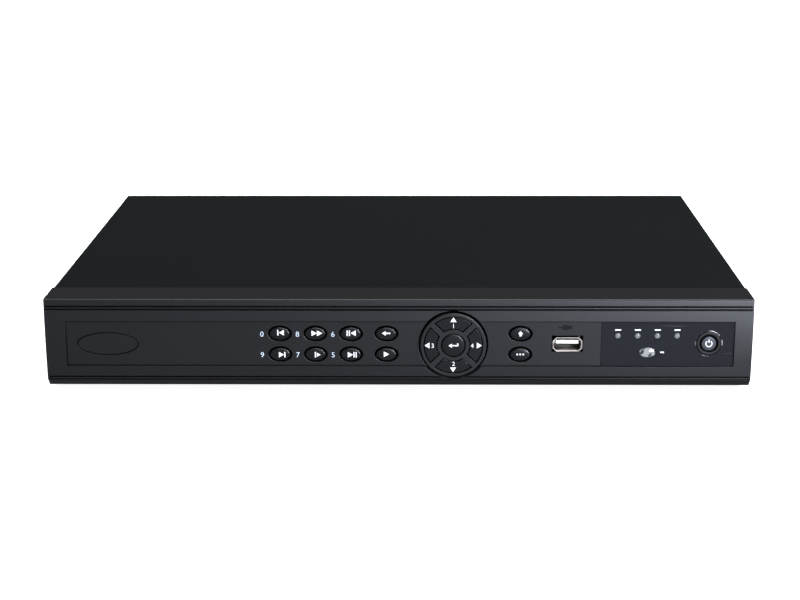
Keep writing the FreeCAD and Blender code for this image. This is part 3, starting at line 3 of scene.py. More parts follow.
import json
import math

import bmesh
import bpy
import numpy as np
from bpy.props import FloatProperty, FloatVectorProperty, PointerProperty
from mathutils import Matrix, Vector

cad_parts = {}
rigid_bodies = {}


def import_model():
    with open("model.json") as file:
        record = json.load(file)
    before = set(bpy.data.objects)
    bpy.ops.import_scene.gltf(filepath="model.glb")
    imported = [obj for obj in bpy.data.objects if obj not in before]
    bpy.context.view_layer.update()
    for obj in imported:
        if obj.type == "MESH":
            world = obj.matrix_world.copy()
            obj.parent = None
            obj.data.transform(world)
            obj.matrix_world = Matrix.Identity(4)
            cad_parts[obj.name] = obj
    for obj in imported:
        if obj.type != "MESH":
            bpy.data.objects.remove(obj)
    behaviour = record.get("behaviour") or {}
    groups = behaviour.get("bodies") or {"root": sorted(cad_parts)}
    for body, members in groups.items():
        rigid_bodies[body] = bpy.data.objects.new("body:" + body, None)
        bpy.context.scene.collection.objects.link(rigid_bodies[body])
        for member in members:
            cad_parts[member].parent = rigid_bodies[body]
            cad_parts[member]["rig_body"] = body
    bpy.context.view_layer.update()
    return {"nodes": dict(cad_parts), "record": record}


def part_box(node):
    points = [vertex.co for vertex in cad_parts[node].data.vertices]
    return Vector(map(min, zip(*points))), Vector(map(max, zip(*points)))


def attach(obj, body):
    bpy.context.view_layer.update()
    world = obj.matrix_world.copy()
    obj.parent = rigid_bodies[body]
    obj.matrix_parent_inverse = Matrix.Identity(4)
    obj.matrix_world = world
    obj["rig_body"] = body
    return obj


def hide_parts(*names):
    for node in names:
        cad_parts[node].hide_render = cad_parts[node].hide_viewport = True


bl_info = {
    "name": "Desktop video recorder",
    "version": (1, 0, 0),
    "blender": (4, 5, 0),
    "location": "View3D > Sidebar > Recorder",
    "description": "Builds the surfaces, finishes and stage of a desktop video recorder",
    "category": "Object",
}

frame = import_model()
MM = 0.001

# ---------------------------------------------------------------- places read from the frame
BEZEL_LOW, BEZEL_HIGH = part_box("front_bezel")
CROWN_Y = BEZEL_LOW.y
TOP_Z = BEZEL_HIGH.z
WINDOW_LOW, WINDOW_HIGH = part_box("display_window")
WINDOW_FACE = WINDOW_LOW.y
PANEL_FACE = WINDOW_FACE - 0.1 * MM
REAR_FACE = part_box("chassis_tray")[1].y

DIGIT_KEYS = ("key_0", "key_8", "key_6", "key_9", "key_7", "key_5")
OVAL_KEYS = (*DIGIT_KEYS, "key_esc", "key_play", "key_shift", "key_fn")
ARROW_KEYS = ("nav_up", "nav_right", "nav_down", "nav_left")


def middle(node):
    """Middle of a node's box."""
    low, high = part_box(node)
    return (low + high) / 2


def face(node):
    """Front-most depth of a node."""
    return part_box(node)[0].y


PAD = middle("nav_ring")
POWER = middle("power_button")

# Fits that the new surfaces share with the pieces behind them.
PANEL_WALL = 2.5 * MM
FLANGE_GAP = 0.12 * MM
FLANGE_THICKNESS = 1.0 * MM
STEM_RADIUS = 1.5 * MM
LAMP_COUNT = 4
LAMP_COLLAR = 0.3 * MM
LAMP_BODY = 5.5 * MM
LAMP_COLLAR_THICKNESS = 1.0 * MM
LAMP_LEG_RADIUS = 0.4 * MM
PRINT_LIFT = 0.02 * MM


def linear(text):
    """An sRGB hex colour as linear red, green, blue, alpha."""
    parts = np.array([int(text[i : i + 2], 16) for i in (1, 3, 5)]) / 255.0
    low = parts / 12.92
    high = ((parts + 0.055) / 1.055) ** 2.4
    return (*np.where(parts <= 0.04045, low, high).tolist(), 1.0)


# ---------------------------------------------------------------- settings
def colour_setting(name, text, description):
    """A colour the user can change, given as sRGB hex."""
    return FloatVectorProperty(
        name=name, description=description, subtype="COLOR", size=4, min=0, max=1, default=linear(text)
    )


def length_setting(name, millimetres, description):
    """A length the user can change, given in millimetres and kept in metres."""
    return FloatProperty(
        name=name, description=description, unit="LENGTH", default=millimetres * MM, precision=5, min=0
    )


class RecorderSizes(bpy.types.PropertyGroup):
    """Sizes of the pieces that are made here."""

    key_half_width: length_setting("Key half width", 5.2, "Half the width of an oval key's cap")
    key_half_height: length_setting("Key half height", 3.3, "Half the height of an oval key's cap")
    key_dome: length_setting("Key dome", 0.12, "How far an oval cap's middle stands out")
    key_edge: length_setting("Key edge", 0.8, "Rounding of an oval cap's edge")
    enter_radius: length_setting("Enter radius", 5.95, "Radius of the round key")
    enter_edge: length_setting("Enter edge", 0.75, "Rounding of the round key's edge")
    power_radius: length_setting("Power radius", 3.75, "Radius of the power button")
    ring_radius: length_setting("Ring radius", 6.3, "Outer radius of the ring round the power button")
    ring_band: length_setting("Ring band", 1.65, "Width of the ring's front band")
    lamp_radius: length_setting("Lamp radius", 1.45, "Radius of an indicator lamp")
    lens_half_width: length_setting("Lens half width", 4.35, "Half the width of the remote eye")
    lens_half_height: length_setting("Lens half height", 2.7, "Half the height of the remote eye")
    digit_height: length_setting("Digit height", 2.85, "Height of the digits beside the keys")
    print_depth: length_setting("Print thickness", 0.06, "Thickness of the printed legends")


class RecorderColours(bpy.types.PropertyGroup):
    """Colours of the finishes."""

    front: colour_setting("Front", "#121316", "Moulded front")
    key: colour_setting("Keys", "#121316", "Key caps")
    cover: colour_setting("Cover", "#0e1214", "Coated steel")
    window: colour_setting("Window", "#1b1d22", "Indicator window")
    legend: colour_setting("Legends", "#dcdfe3", "Printed legends on the keys")
    digit: colour_setting("Digits", "#b4c6d6", "Printed digits on the panel")
    lamp: colour_setting("Lamps", "#6b6e72", "Unlit indicator lamps")


# ---------------------------------------------------------------- surfaces
def new_piece(name, vertices, faces, material, body, smooth_angle=40):
    """Puts arrays into a mesh, turns its faces outwards and lets it ride on a body."""
    mesh = bpy.data.meshes.new(name)
    mesh.from_pydata(vertices.tolist(), [], faces)
    work = bmesh.new()
    work.from_mesh(mesh)
    bmesh.ops.recalc_face_normals(work, faces=work.faces)
    work.to_mesh(mesh)
    work.free()
    return place(name, mesh, material, body, smooth_angle)


def place(name, mesh, material, body, smooth_angle=40):
    """A scene object for a finished mesh, smooth except at edges sharper than the angle."""
    mesh.name = name
    mesh.shade_smooth()
    mesh.set_sharp_from_angle(angle=math.radians(smooth_angle))
    mesh.materials.clear()
    mesh.materials.append(material)
    piece = bpy.data.objects.new(name, mesh)
    bpy.context.scene.collection.objects.link(piece)
    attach(piece, body)
    return piece


def softened(points, radii, steps=6):
    """A polyline whose corners are rounded.

    A corner C with rounding r becomes the curve (1-t)^2 A + 2t(1-t) C + t^2 B, where A and B
    lie r away from C on its two sides and t runs from 0 to 1.
    """
    points = np.asarray(points, float)
    t = np.linspace(0, 1, steps)[:, None]
    rows = [points[:1]]
    for before, corner, after, radius in zip(points, points[1:], points[2:], radii):
        a = corner + (before - corner) / np.linalg.norm(before - corner) * radius
        b = corner + (after - corner) / np.linalg.norm(after - corner) * radius
        rows.append((1 - t) ** 2 * a + 2 * t * (1 - t) * corner + t**2 * b if radius else corner[None])
    return np.vstack(rows + [points[-1:]])


def lathe(centre, rings, sides=96, ring_shaped=False):
    """Vertices and faces of a closed surface carried round a line along Y.

    Ring k has half-axes a_k across and b_k up and lies at depth y_k; its points are
    (x + a_k cos t, y_k, z + b_k sin t) for t from 0 to 2 pi. The ends close in a pole each,
    or, if ring_shaped, the last ring joins the first.
    """
    rings = np.asarray(rings, float)
    t = np.linspace(0, 2 * math.pi, sides, endpoint=False)
    x = centre.x + rings[:, :1] * np.cos(t)
    y = rings[:, 2:] + 0 * t
    z = centre.z + rings[:, 1:2] * np.sin(t)
    vertices = np.stack([x, y, z], axis=-1).reshape(-1, 3)
    count = len(rings)
    rows = np.arange(count if ring_shaped else count - 1)[:, None]
    here = np.arange(sides)[None, :]
    after = (here + 1) % sides
    lower = rows * sides
    upper = (rows + 1) % count * sides
    quads = np.stack([lower + here, lower + after, upper + after, upper + here], axis=-1).reshape(-1, 4)
    faces = quads.tolist()
    if not ring_shaped:
        ends = np.array([[centre.x, rings[0, 2], centre.z], [centre.x, rings[-1, 2], centre.z]])
        first = len(vertices)
        vertices = np.vstack([vertices, ends])
        last = (count - 1) * sides
        here = here[0]
        after = after[0]
        faces += np.stack([here, after, np.full(sides, first)], axis=-1).tolist()
        faces += np.stack([last + here, last + after, np.full(sides, first + 1)], axis=-1).tolist()
    return vertices, faces


def capped_button(half_x, half_z, front, dome, edge, flange_y, lip, back_y, stem_radius, stem_end):
    """Rings of a sprung button, from the middle of its cap to the end of its stem.

    The cap's depth is front + dome u^3 out to u = 1, where its edge rounds off as a quarter circle;
    then come the side, the flange wider by lip, and the round stem.
    """
    u = np.linspace(0.04, 1, 12)
    flat_x = half_x - edge
    flat_z = half_z - edge
    top = np.stack([flat_x * u, flat_z * u, front + dome * u**3], axis=-1)
    turn = np.linspace(0, math.pi / 2, 9)[1:]
    out = edge * np.sin(turn)
    down = front + dome + edge * (1 - np.cos(turn))
    rim = np.stack([flat_x + out, flat_z + out, down], axis=-1)
    side = [
        (half_x, half_z, flange_y),
        (half_x + lip, half_z + lip, flange_y),
        (half_x + lip, half_z + lip, back_y),
        (stem_radius, stem_radius, back_y),
        (stem_radius, stem_radius, stem_end),
    ]
    return np.vstack([top, rim, side])


def rounded_copy(node, material, width=0.12, steps=2):
    """A merged copy of a CAD node with a bevel of the given width in millimetres on its sharp edges."""
    source = frame["nodes"][node]
    mesh = bpy.data.meshes.new(node + "_finish")
    work = bmesh.new()
    work.from_mesh(source.data)
    bmesh.ops.remove_doubles(work, verts=work.verts, dist=1e-6)
    bmesh.ops.dissolve_limit(work, angle_limit=math.radians(0.5), verts=work.verts, edges=work.edges)
    work.to_mesh(mesh)
    work.free()
    piece = place(node + "_finish", mesh, material, source["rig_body"])
    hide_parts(node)
    if width:
        bevel = piece.modifiers.new("edges", "BEVEL")
        bevel.width = width * MM
        bevel.segments = steps
        bevel.limit_method = "ANGLE"
        bevel.angle_limit = math.radians(40)
        bevel.use_clamp_overlap = False
        normals = piece.modifiers.new("normals", "WEIGHTED_NORMAL")
        normals.mode = "FACE_AREA"
        normals.weight = 100
        normals.keep_sharp = True
    return piece


SLOT_OF_NODE = {part["node"]: part["material_slot"] for part in frame["record"]["subparts"]}


# ---------------------------------------------------------------- prints
def printed(name, curves, material, body, to_world):
    """Joins flat curve objects into one thin mesh and turns it into place by to_world."""
    work = bmesh.new()
    for curve in curves:
        bpy.context.view_layer.update()
        flat = bpy.data.meshes.new_from_object(curve)
        flat.transform(curve.matrix_world)
        work.from_mesh(flat)
        bpy.data.meshes.remove(flat)
        bpy.data.objects.remove(curve)
    bmesh.ops.remove_doubles(work, verts=work.verts, dist=1e-7)
    bmesh.ops.recalc_face_normals(work, faces=work.faces)
    mesh = bpy.data.meshes.new(name)
    work.to_mesh(mesh)
    work.free()
    mesh.transform(to_world)
    return place(name, mesh, material, body, smooth_angle=20)


def facing_front(y):
    """Turns the drawing plane to face the front at depth y."""
    return Matrix(((1, 0, 0, 0), (0, 0, -1, y), (0, 1, 0, 0), (0, 0, 0, 1)))


CAPITAL_SHARE = 0.73  # height of a capital as a share of the type size


def numeral(digit, x, z, height):
    """A plain upright numeral as a flat curve of the given height, its middle at x, z."""
    data = bpy.data.curves.new(digit, "FONT")
    data.body = digit
    data.size = height / CAPITAL_SHARE
    data.align_x = "CENTER"
    data.extrude = bpy.context.scene.recorder_sizes.print_depth / 2
    data.resolution_u = 4
    shape = bpy.data.objects.new(digit, data)
    bpy.context.scene.collection.objects.link(shape)
    shape.location = (x, z - height / 2, 0)
    return shape


def outline(name, outlines):
    """Flat filled shapes from closed outlines of (x, z) points."""
    data = bpy.data.curves.new(name, "CURVE")
    data.dimensions = "2D"
    data.fill_mode = "BOTH"
    data.extrude = bpy.context.scene.recorder_sizes.print_depth / 2
    for points in outlines:
        points = np.asarray(points, float)
        spline = data.splines.new("POLY")
        spline.points.add(len(points) - 1)
        flat = np.zeros((len(points), 4))
        flat[:, :2] = points
        flat[:, 3] = 1
        spline.points.foreach_set("co", flat.ravel())
        spline.use_cyclic_u = True
    shape = bpy.data.objects.new(name, data)
    bpy.context.scene.collection.objects.link(shape)
    return shape


def triangle(x, z, length, height, direction):
    """A solid arrow head with its middle at x, z, pointing right, left, up or down."""
    base = np.array([(-length / 2, -height / 2), (length / 2, 0), (-length / 2, height / 2)])
    angle = {"right": 0, "up": 90, "left": 180, "down": 270}[direction]
    c = math.cos(math.radians(angle))
    s = math.sin(math.radians(angle))
    return base @ np.array([(c, s), (-s, c)]) + (x, z)


def bar(x, z, width, height):
    """An upright bar with its middle at x, z."""
    return np.array([(-1, -1), (1, -1), (1, 1), (-1, 1)]) * (width / 2, height / 2) + (x, z)


def arc_band(x, z, inner, outer, start, end, steps=40):
    """Outline of part of a ring: the outer arc from start to end degrees, then the inner arc back."""
    t = np.radians(np.linspace(start, end, steps))
    out = np.stack([np.cos(t), np.sin(t)], axis=-1) * outer
    back = np.stack([np.cos(t), np.sin(t)], axis=-1)[::-1] * inner
    return np.vstack([out, back]) + (x, z)


# ---------------------------------------------------------------- finishes
def add(tree, kind, inputs=(), **settings):
    """Adds a node; inputs maps sockets to plain values or to other nodes' outputs."""
    node = tree.nodes.new("ShaderNode" + kind)
    for key, value in settings.items():
        setattr(node, key, value)
    for socket, value in dict(inputs).items():
        if isinstance(value, bpy.types.NodeSocket):
            tree.links.new(value, node.inputs[socket])
        else:
            node.inputs[socket].default_value = value
    return node


def finish(name, colour, roughness, **inputs):
    """A material with one surface shader; other inputs are named with underscores for spaces."""
    material = bpy.data.materials.new(name)
    material.use_nodes = True
    tree = material.node_tree
    shader = tree.nodes["Principled BSDF"]
    shader.inputs["Base Color"].default_value = colour
    shader.inputs["Roughness"].default_value = roughness
    for key, value in inputs.items():
        shader.inputs[key.replace("_", " ")].default_value = value
    return material, tree, shader


def object_space(tree):
    """Coordinates in the piece's own space."""
    return add(tree, "TexCoord").outputs["Object"]


def two_tone(tree, shader, share, low, high, blend="MIX"):
    """Base colour that goes from the low tone to the high one as share rises; returns it."""
    mix = add(tree, "Mix", {"Factor": share, 6: low, 7: high}, data_type="RGBA", blend_type=blend)
    tree.links.new(mix.outputs[2], shader.inputs["Base Color"])
    return mix.outputs[2]


def patches_of(tree, size, detail):
    """Noise in object space with patches of the given size in millimetres."""
    inputs = {"Vector": object_space(tree), "Scale": 1 / (size * MM), "Detail": detail}
    return add(tree, "TexNoise", inputs).outputs["Fac"]


def grain(tree, shader, size, depth, detail=2.0):
    """Bumps of the given size and depth in millimetres, in object space."""
    height = patches_of(tree, size, detail)
    bump = add(tree, "Bump", {"Height": height, "Distance": depth * MM, "Strength": 1.0})
    tree.links.new(bump.outputs["Normal"], shader.inputs["Normal"])


def mottle(tree, shader, size, dark, light):
    """Slow drift of the colour between two tones, patches of the given size in millimetres."""
    return two_tone(tree, shader, patches_of(tree, size, 3.0), dark, light)


def paint_gap_shade(tree, shader, tone, reach):
    """Paints shade into grooves and gaps about as wide as reach, in millimetres, by darkening the tone where
    ambient occlusion finds nearby surfaces, and returns the share left.
    """
    near = add(tree, "AmbientOcclusion", {"Distance": reach * MM}, samples=8)
    shade_range = {"Value": near.outputs["AO"], "From Min": 0.6, "From Max": 0.97, "To Min": 0.05}
    share = add(tree, "MapRange", shade_range).outputs["Result"]
    two_tone(tree, shader, 1.0, tone, share, "MULTIPLY")
    return share


def toned(colour, factor):
    """A colour made darker or lighter."""
    return (*[min(1.0, c * factor) for c in colour[:3]], 1.0)


def moulded_abs(name, colour, roughness=0.38, specular=0.5):
    """Injection-moulded ABS with a fine spark-eroded texture: soft grey sheen, faint drift of tone, and
    painted shade in its grooves and gaps.
    """
    material, tree, shader = finish(name, colour, roughness, Specular_IOR_Level=specular)
    grain(tree, shader, 0.35, 0.012)
    tone = mottle(tree, shader, 45, toned(colour, 0.92), toned(colour, 1.08))
    # Painted shade: the colour and the specular tint darken in grooves and gaps about 1.1 mm wide.
    share = paint_gap_shade(tree, shader, tone, 1.1)
    tree.links.new(share, shader.inputs["Specular Tint"])
    return material


def powder_coat(name, colour):
    """Folded steel with a fine black powder coat: almost matt, with a sandy grain."""
    material, tree, shader = finish(name, colour, 0.62, Specular_IOR_Level=0.12)
    grain(tree, shader, 0.5, 0.02, detail=4.0)
    mottle(tree, shader, 60, toned(colour, 0.9), toned(colour, 1.12))
    return material


# How strong the pale ring round the power button is, by share of a turn from nine o'clock, anticlockwise:
# the full-strength arc on the upper right is a painted highlight, the half-strength arc on the lower left is
# a rub.
RUB_AND_HIGHLIGHT_ARCS = (
    (0.03, 0.0),
    (0.15, 0.0),
    (0.18, 0.5),
    (0.24, 0.5),
    (0.27, 0.0),
    (0.40, 0.0),
    (0.44, 1.0),
    (0.80, 1.0),
    (0.85, 0.0),
    (0.97, 0.0),
)
RUB_AND_HIGHLIGHT_RADIUS = 6.75 * MM
RUB_AND_HIGHLIGHT_HALF_WIDTH = 0.3 * MM
WINDOW_ROUGHNESS = 0.16


def acrylic_window(name, colour):
    """Smoked acrylic plate, glossy, handled: hairline scratches, and a pale ring round the power button that
    is a painted highlight on its upper right and a rub on its lower left.
    """
    material, tree, shader = finish(name, colour, WINDOW_ROUGHNESS)
    place_on_plate = object_space(tree)
    about_button = {"Vector": place_on_plate, "Location": (-POWER.x, 0, -POWER.z), "Scale": (1, 0, 1)}
    centred = add(tree, "Mapping", about_button).outputs["Vector"]
    reach = add(tree, "VectorMath", {0: centred}, operation="LENGTH")
    off_ring = add(tree, "Math", {0: reach.outputs["Value"], 1: RUB_AND_HIGHLIGHT_RADIUS}, operation="SUBTRACT")
    near = add(tree, "Math", {0: off_ring.outputs[0]}, operation="ABSOLUTE")
    fade = {"Value": near.outputs[0], "From Max": RUB_AND_HIGHLIGHT_HALF_WIDTH, "To Min": 1.0, "To Max": 0.0}
    ring = add(tree, "MapRange", fade)
    patches = add(tree, "TexNoise", {"Vector": centred, "Scale": 420.0, "Detail": 1.0})
    broken = add(tree, "MapRange", {"Value": patches.outputs["Fac"], "From Min": 0.42, "From Max": 0.6})
    turned = add(tree, "Mapping", {"Vector": centred, "Rotation": (-math.pi / 2, 0, 0)})
    angle = add(tree, "TexGradient", {"Vector": turned.outputs["Vector"]}, gradient_type="RADIAL")
    rub_and_highlight_strength = add(tree, "ValToRGB", {"Fac": angle.outputs["Fac"]})
    ramp = rub_and_highlight_strength.color_ramp
    ramp.elements[0].color = (0.5, 0.5, 0.5, 1)
    ramp.elements[1].color = (0.5, 0.5, 0.5, 1)
    for at, amount in RUB_AND_HIGHLIGHT_ARCS:
        ramp.elements.new(at).color = (amount, amount, amount, 1)
    # The pale ring is a painted highlight on its upper right and a rub on its lower left.
    rub_and_highlight = add(tree, "Math", {0: ring.outputs["Result"], 1: broken.outputs["Result"]}, operation="MULTIPLY")
    rub_and_highlight = add(tree, "Math", {0: rub_and_highlight.outputs[0], 1: rub_and_highlight_strength.outputs["Color"]}, operation="MULTIPLY")
    slanted = {"Vector": place_on_plate, "Rotation": (0, math.radians(12), 0), "Scale": (25, 1, 900)}
    stretched = add(tree, "Mapping", slanted)
    lines = add(tree, "TexNoise", {"Vector": stretched.outputs["Vector"], "Scale": 1.0, "Detail": 1.0})
    thin = {"Value": lines.outputs["Fac"], "From Min": 0.76, "From Max": 0.82, "To Max": 0.12}
    hairs = add(tree, "MapRange", thin)
    dots = add(tree, "TexVoronoi", {"Vector": place_on_plate, "Scale": 60.0})
    small = {"Value": dots.outputs["Distance"], "From Min": 0.012, "From Max": 0.03}
    specks = add(tree, "MapRange", {**small, "To Min": 0.35, "To Max": 0.0})
    marks = add(tree, "Math", {0: rub_and_highlight.outputs[0], 1: hairs.outputs["Result"]}, operation="MAXIMUM")
    marks = add(tree, "Math", {0: marks.outputs[0], 1: specks.outputs["Result"]}, operation="MAXIMUM")
    two_tone(tree, shader, marks.outputs[0], colour, linear("#c9cdd2"))
    rough = add(tree, "MapRange", {"Value": marks.outputs[0], "To Min": WINDOW_ROUGHNESS, "To Max": 0.5})
    tree.links.new(rough.outputs["Result"], shader.inputs["Roughness"])
    return material


def pad_print(name, colour):
    """Pad-printed ink: flat, slightly uneven white."""
    material, tree, shader = finish(name, colour, 0.55)
    mottle(tree, shader, 1.2, toned(colour, 0.9), colour)
    return material


def clear_epoxy(name, colour):
    """Diffused epoxy of a lamp: milky, with a glossy skin and a faint drift of tone."""
    material, tree, shader = finish(name, colour, 0.25, Coat_Weight=0.3, Coat_Roughness=0.1)
    mottle(tree, shader, 1.5, toned(colour, 0.85), toned(colour, 1.15))
    return material


def clear_lens(name, dark, light):
    """Clear moulded lens with flow swirls, about 6 mm long, showing a pale body behind it."""
    material, tree, shader = finish(name, linear(light), 0.12, Coat_Weight=0.5, Coat_Roughness=0.05)
    flow = {"Vector": object_space(tree), "Scale": 170.0, "Detail": 1.0, "Distortion": 2.5}
    swirl = add(tree, "TexNoise", flow)
    share = add(tree, "MapRange", {"Value": swirl.outputs["Fac"], "From Min": 0.42, "From Max": 0.56})
    two_tone(tree, shader, share.outputs["Result"], linear(dark), linear(light))
    return material


def plated(name, text, roughness=0.22, painted_shade_reach=0.0):
    """Nickel or zinc plate on pressed steel: bright, with faint drawn streaks, and painted shade darkening
    it inside a deep socket.
    """
    material, tree, shader = finish(name, linear(text), roughness, Metallic=1.0)
    drawn = add(tree, "Mapping", {"Vector": object_space(tree), "Scale": (2500, 120, 2500)})
    streaks = add(tree, "TexNoise", {"Vector": drawn.outputs["Vector"], "Scale": 1.0, "Detail": 2.0})
    span = {"Value": streaks.outputs["Fac"], "To Min": roughness * 0.7, "To Max": roughness * 1.5}
    rough = add(tree, "MapRange", span)
    # Painted shade: the plate darkens inside a deep socket, within the given reach of its walls.
    if painted_shade_reach:
        paint_gap_shade(tree, shader, linear(text), painted_shade_reach)
    tree.links.new(rough.outputs["Result"], shader.inputs["Roughness"])
    return material


def cast_metal(name, text, roughness, size):
    """Cast or turned metal with a matt grain of the given size in millimetres."""
    material, tree, shader = finish(name, linear(text), roughness, Metallic=1.0)
    grain(tree, shader, size, 0.01, detail=3.0)
    return material


def plain_moulding(name, text, roughness=0.5, size=0.4):
    """Small moulded plastic part with a light texture."""
    colour = linear(text)
    material, tree, shader = finish(name, colour, roughness)
    grain(tree, shader, size, 0.008)
    mottle(tree, shader, 6, toned(colour, 0.9), toned(colour, 1.08))
    return material


def circuit_board(name, text):
    """Green solder mask over copper tracks: a net of paler lines about 4 mm apart."""
    dark = linear(text)
    material, tree, shader = finish(name, dark, 0.35)
    net = {"Vector": object_space(tree), "Scale": 260.0}
    cells = add(tree, "TexVoronoi", net, distance="CHEBYCHEV", feature="F1")
    tracks = add(tree, "MapRange", {"Value": cells.outputs["Distance"], "From Min": 0.45, "From Max": 0.5})
    two_tone(tree, shader, tracks.outputs["Result"], dark, toned(dark, 1.7))
    return material


def cable_sleeve(name, text, ribs=0.0):
    """Soft sleeve of a lead; ribs gives the flat cable's wire spacing in millimetres."""
    colour = linear(text)
    material, tree, shader = finish(name, colour, 0.55)
    grain(tree, shader, 0.6, 0.01)
    if ribs:
        spacing = {"Vector": object_space(tree), "Scale": math.tau / (20 * ribs * MM)}
        wires = add(tree, "TexWave", spacing, bands_direction="X")
        two_tone(tree, shader, wires.outputs["Fac"], toned(colour, 0.6), colour)
    return material


def foot_rubber(name):
    """Moulded black rubber: dull, with a dusty bloom."""
    material, tree, shader = finish(name, linear("#17181a"), 0.8, Sheen_Weight=0.15)
    grain(tree, shader, 0.8, 0.03)
    mottle(tree, shader, 5, linear("#131415"), linear("#232426"))
    return material


def make_finishes():
    """Every finish of the recorder, by the name of its slot."""
    colours = bpy.context.scene.recorder_colours
    front = tuple(colours.front)
    return {
        "moulded_abs": moulded_abs("front_abs", front),
        "pad_abs": moulded_abs("pad_abs", toned(front, 1.1)),
        "ring_abs": moulded_abs("power_ring_abs", toned(front, 0.7), roughness=0.42, specular=0.35),
        "key_abs": moulded_abs("key_abs", tuple(colours.key), roughness=0.26),
        "power_key_abs": moulded_abs("power_key_abs", linear("#2e343c"), roughness=0.4),
        "window_acrylic": acrylic_window("window_acrylic", tuple(colours.window)),
        "painted_steel": powder_coat("cover_powder_coat", tuple(colours.cover)),
        "zinc_steel": powder_coat("tray_powder_coat", toned(tuple(colours.cover), 1.3)),
        "lamp_plastic": clear_epoxy("lamp_epoxy", tuple(colours.lamp)),
        "lamp_dark": plain_moulding("receiver_epoxy", "#15121a", 0.2),
        "smoked_lens": clear_lens("eye_lens", "#303236", "#85888a"),
        "nickel_plate": plated("nickel_plate", "#efe4e0", 0.38, 4.0),
        "screw_steel": plated("zinc_plate", "#c9c8c2", 0.3),
        "screw_black": cast_metal("black_oxide", "#1b1b1d", 0.5, 0.6),
        "cell_steel": plated("cell_steel", "#cfcfca", 0.3),
        "disk_steel": plated("disk_lid_steel", "#c0c3c6", 0.35),
        "capacitor_can": plated("capacitor_can", "#b5b8bc", 0.35),
        "cast_alloy": cast_metal("cast_alloy", "#8f9194", 0.5, 1.2),
        "black_aluminium": cast_metal("black_anodised_aluminium", "#1e1f21", 0.45, 0.5),
        "green_board": circuit_board("solder_mask", "#0d4a2a"),
        "switch_plastic": plain_moulding("switch_nylon", "#202022"),
        "socket_plastic": plain_moulding("socket_nylon", "#e6e2d8", 0.4),
        "socket_black": plain_moulding("socket_black_nylon", "#17181a", 0.5),
        "insert_blue": plain_moulding("insert_blue_nylon", "#1f4fa8", 0.45),
        "terminal_green": plain_moulding("terminal_green_nylon", "#2f8a4c", 0.45),
        "chip_epoxy": plain_moulding("chip_epoxy", "#18191b", 0.6, 0.2),
        "header_nylon": plain_moulding("header_nylon", "#e9e4d6", 0.5),
        "cable_red": cable_sleeve("data_cable_sleeve", "#a3201b"),
        "cable_black": cable_sleeve("supply_lead_sleeve", "#141416"),
        "ribbon_grey": cable_sleeve("ribbon_sleeve", "#a7a9ab", ribs=1.27),
        "fan_plastic": plain_moulding("fan_plastic", "#161719", 0.45),
        "foot_rubber": foot_rubber("foot_rubber"),
        "legend": pad_print("key_print", tuple(colours.legend)),
        "digit": pad_print("panel_print", tuple(colours.digit)),
        "emboss": moulded_abs("raised_mark_abs", toned(front, 0.5), roughness=0.5, specular=0.2),
    }


FINISHES = {}


def prepare():
    """The finishes, made once."""
    if not FINISHES:
        FINISHES.update(make_finishes())
    return FINISHES


# ---------------------------------------------------------------- operators
# Width of the rounding on the edges of each copied node, in millimetres.
BEVELS = {
    "front_bezel": 0.12,
    "display_window": 0.12,
    "nav_ring": 0.15,
    "top_cover": 0.15,
    "chassis_tray": 0.12,
    "rubber_feet": 0.4,
    "case_screws": 0.1,
    "side_screws": 0.06,
    "long_screws": 0.1,
    "key_board_screws": 0.06,
    "front_usb_shell": 0.08,
    "front_usb_tongue": 0.08,
    "video_sockets": 0.15,
    "video_socket_inserts": 0.1,
    "audio_sockets": 0.15,
    "vga_socket": 0.12,
    "vga_insert": 0.08,
    "hdmi_socket": 0.08,
    "network_socket": 0.1,
    "rear_usb_sockets": 0.1,
    "terminal_block": 0.12,
    "dc_jack": 0.15,
    "socket_housings": 0.2,
    "fan_frame": 0.2,
    "fan_rotor": 0.08,
    "disk_base": 0.3,
    "disk_lid": 0.15,
    "heat_sink": 0.15,
    "board_chips": 0.12,
    "board_headers": 0.15,
    "clock_battery": 0.1,
    "battery_holder": 0.15,
    "key_ribbon_cable": 0.1,
}


class RECORDER_OT_case(bpy.types.Operator):
    """Finish the case, its fittings and the inner pieces that keep their own shape"""

    bl_idname = "recorder.make_case"
    bl_label = "Case and fittings"

    def execute(self, context):
        finishes = prepare()
        for node, width in BEVELS.items():
            rounded_copy(node, finishes[SLOT_OF_NODE[node]], width)
        for node, item in frame["nodes"].items():
            if node not in BEVELS:
                item.data.materials.clear()
                item.data.materials.append(finishes[SLOT_OF_NODE[node]])
        return {"FINISHED"}


class RECORDER_OT_keys(bpy.types.Operator):
    """Make the oval keys, the round key and the arrow keys"""

    bl_idname = "recorder.make_keys"
    bl_label = "Keys"

    def execute(self, context):
        sizes = context.scene.recorder_sizes
        finishes = prepare()
        shapes = {key: (sizes.key_half_width, sizes.key_half_height, sizes.key_edge) for key in OVAL_KEYS}
        shapes["key_enter"] = (sizes.enter_radius, sizes.enter_radius, sizes.enter_edge)
        for key, (half_x, half_z, edge) in shapes.items():
            low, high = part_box(key)
            lip = (high.x - low.x) / 2 - half_x
            flange = flange_front()
            back = flange + FLANGE_THICKNESS
            rings = capped_button(
                half_x, half_z, low.y, sizes.key_dome, edge, flange, lip, back, STEM_RADIUS, high.y
            )
            vertices, faces = lathe(middle(key), rings)
            piece = new_piece(key + "_cap", vertices, faces, finishes["key_abs"], key)
            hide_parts(key)
        for key in ARROW_KEYS:
            rounded_copy(key, finishes["key_abs"], 0.06)
        return {"FINISHED"}


def flange_front():
    """Depth at which the keys' flanges start, just behind the panel."""
    return PANEL_FACE + PANEL_WALL + FLANGE_GAP


POWER_DOME = 0.12 * MM
POWER_EDGE = 0.45 * MM
POWER_GAP = 0.35 * MM
RING_STEP = 1.1 * MM
RING_SEAT = 1.0 * MM


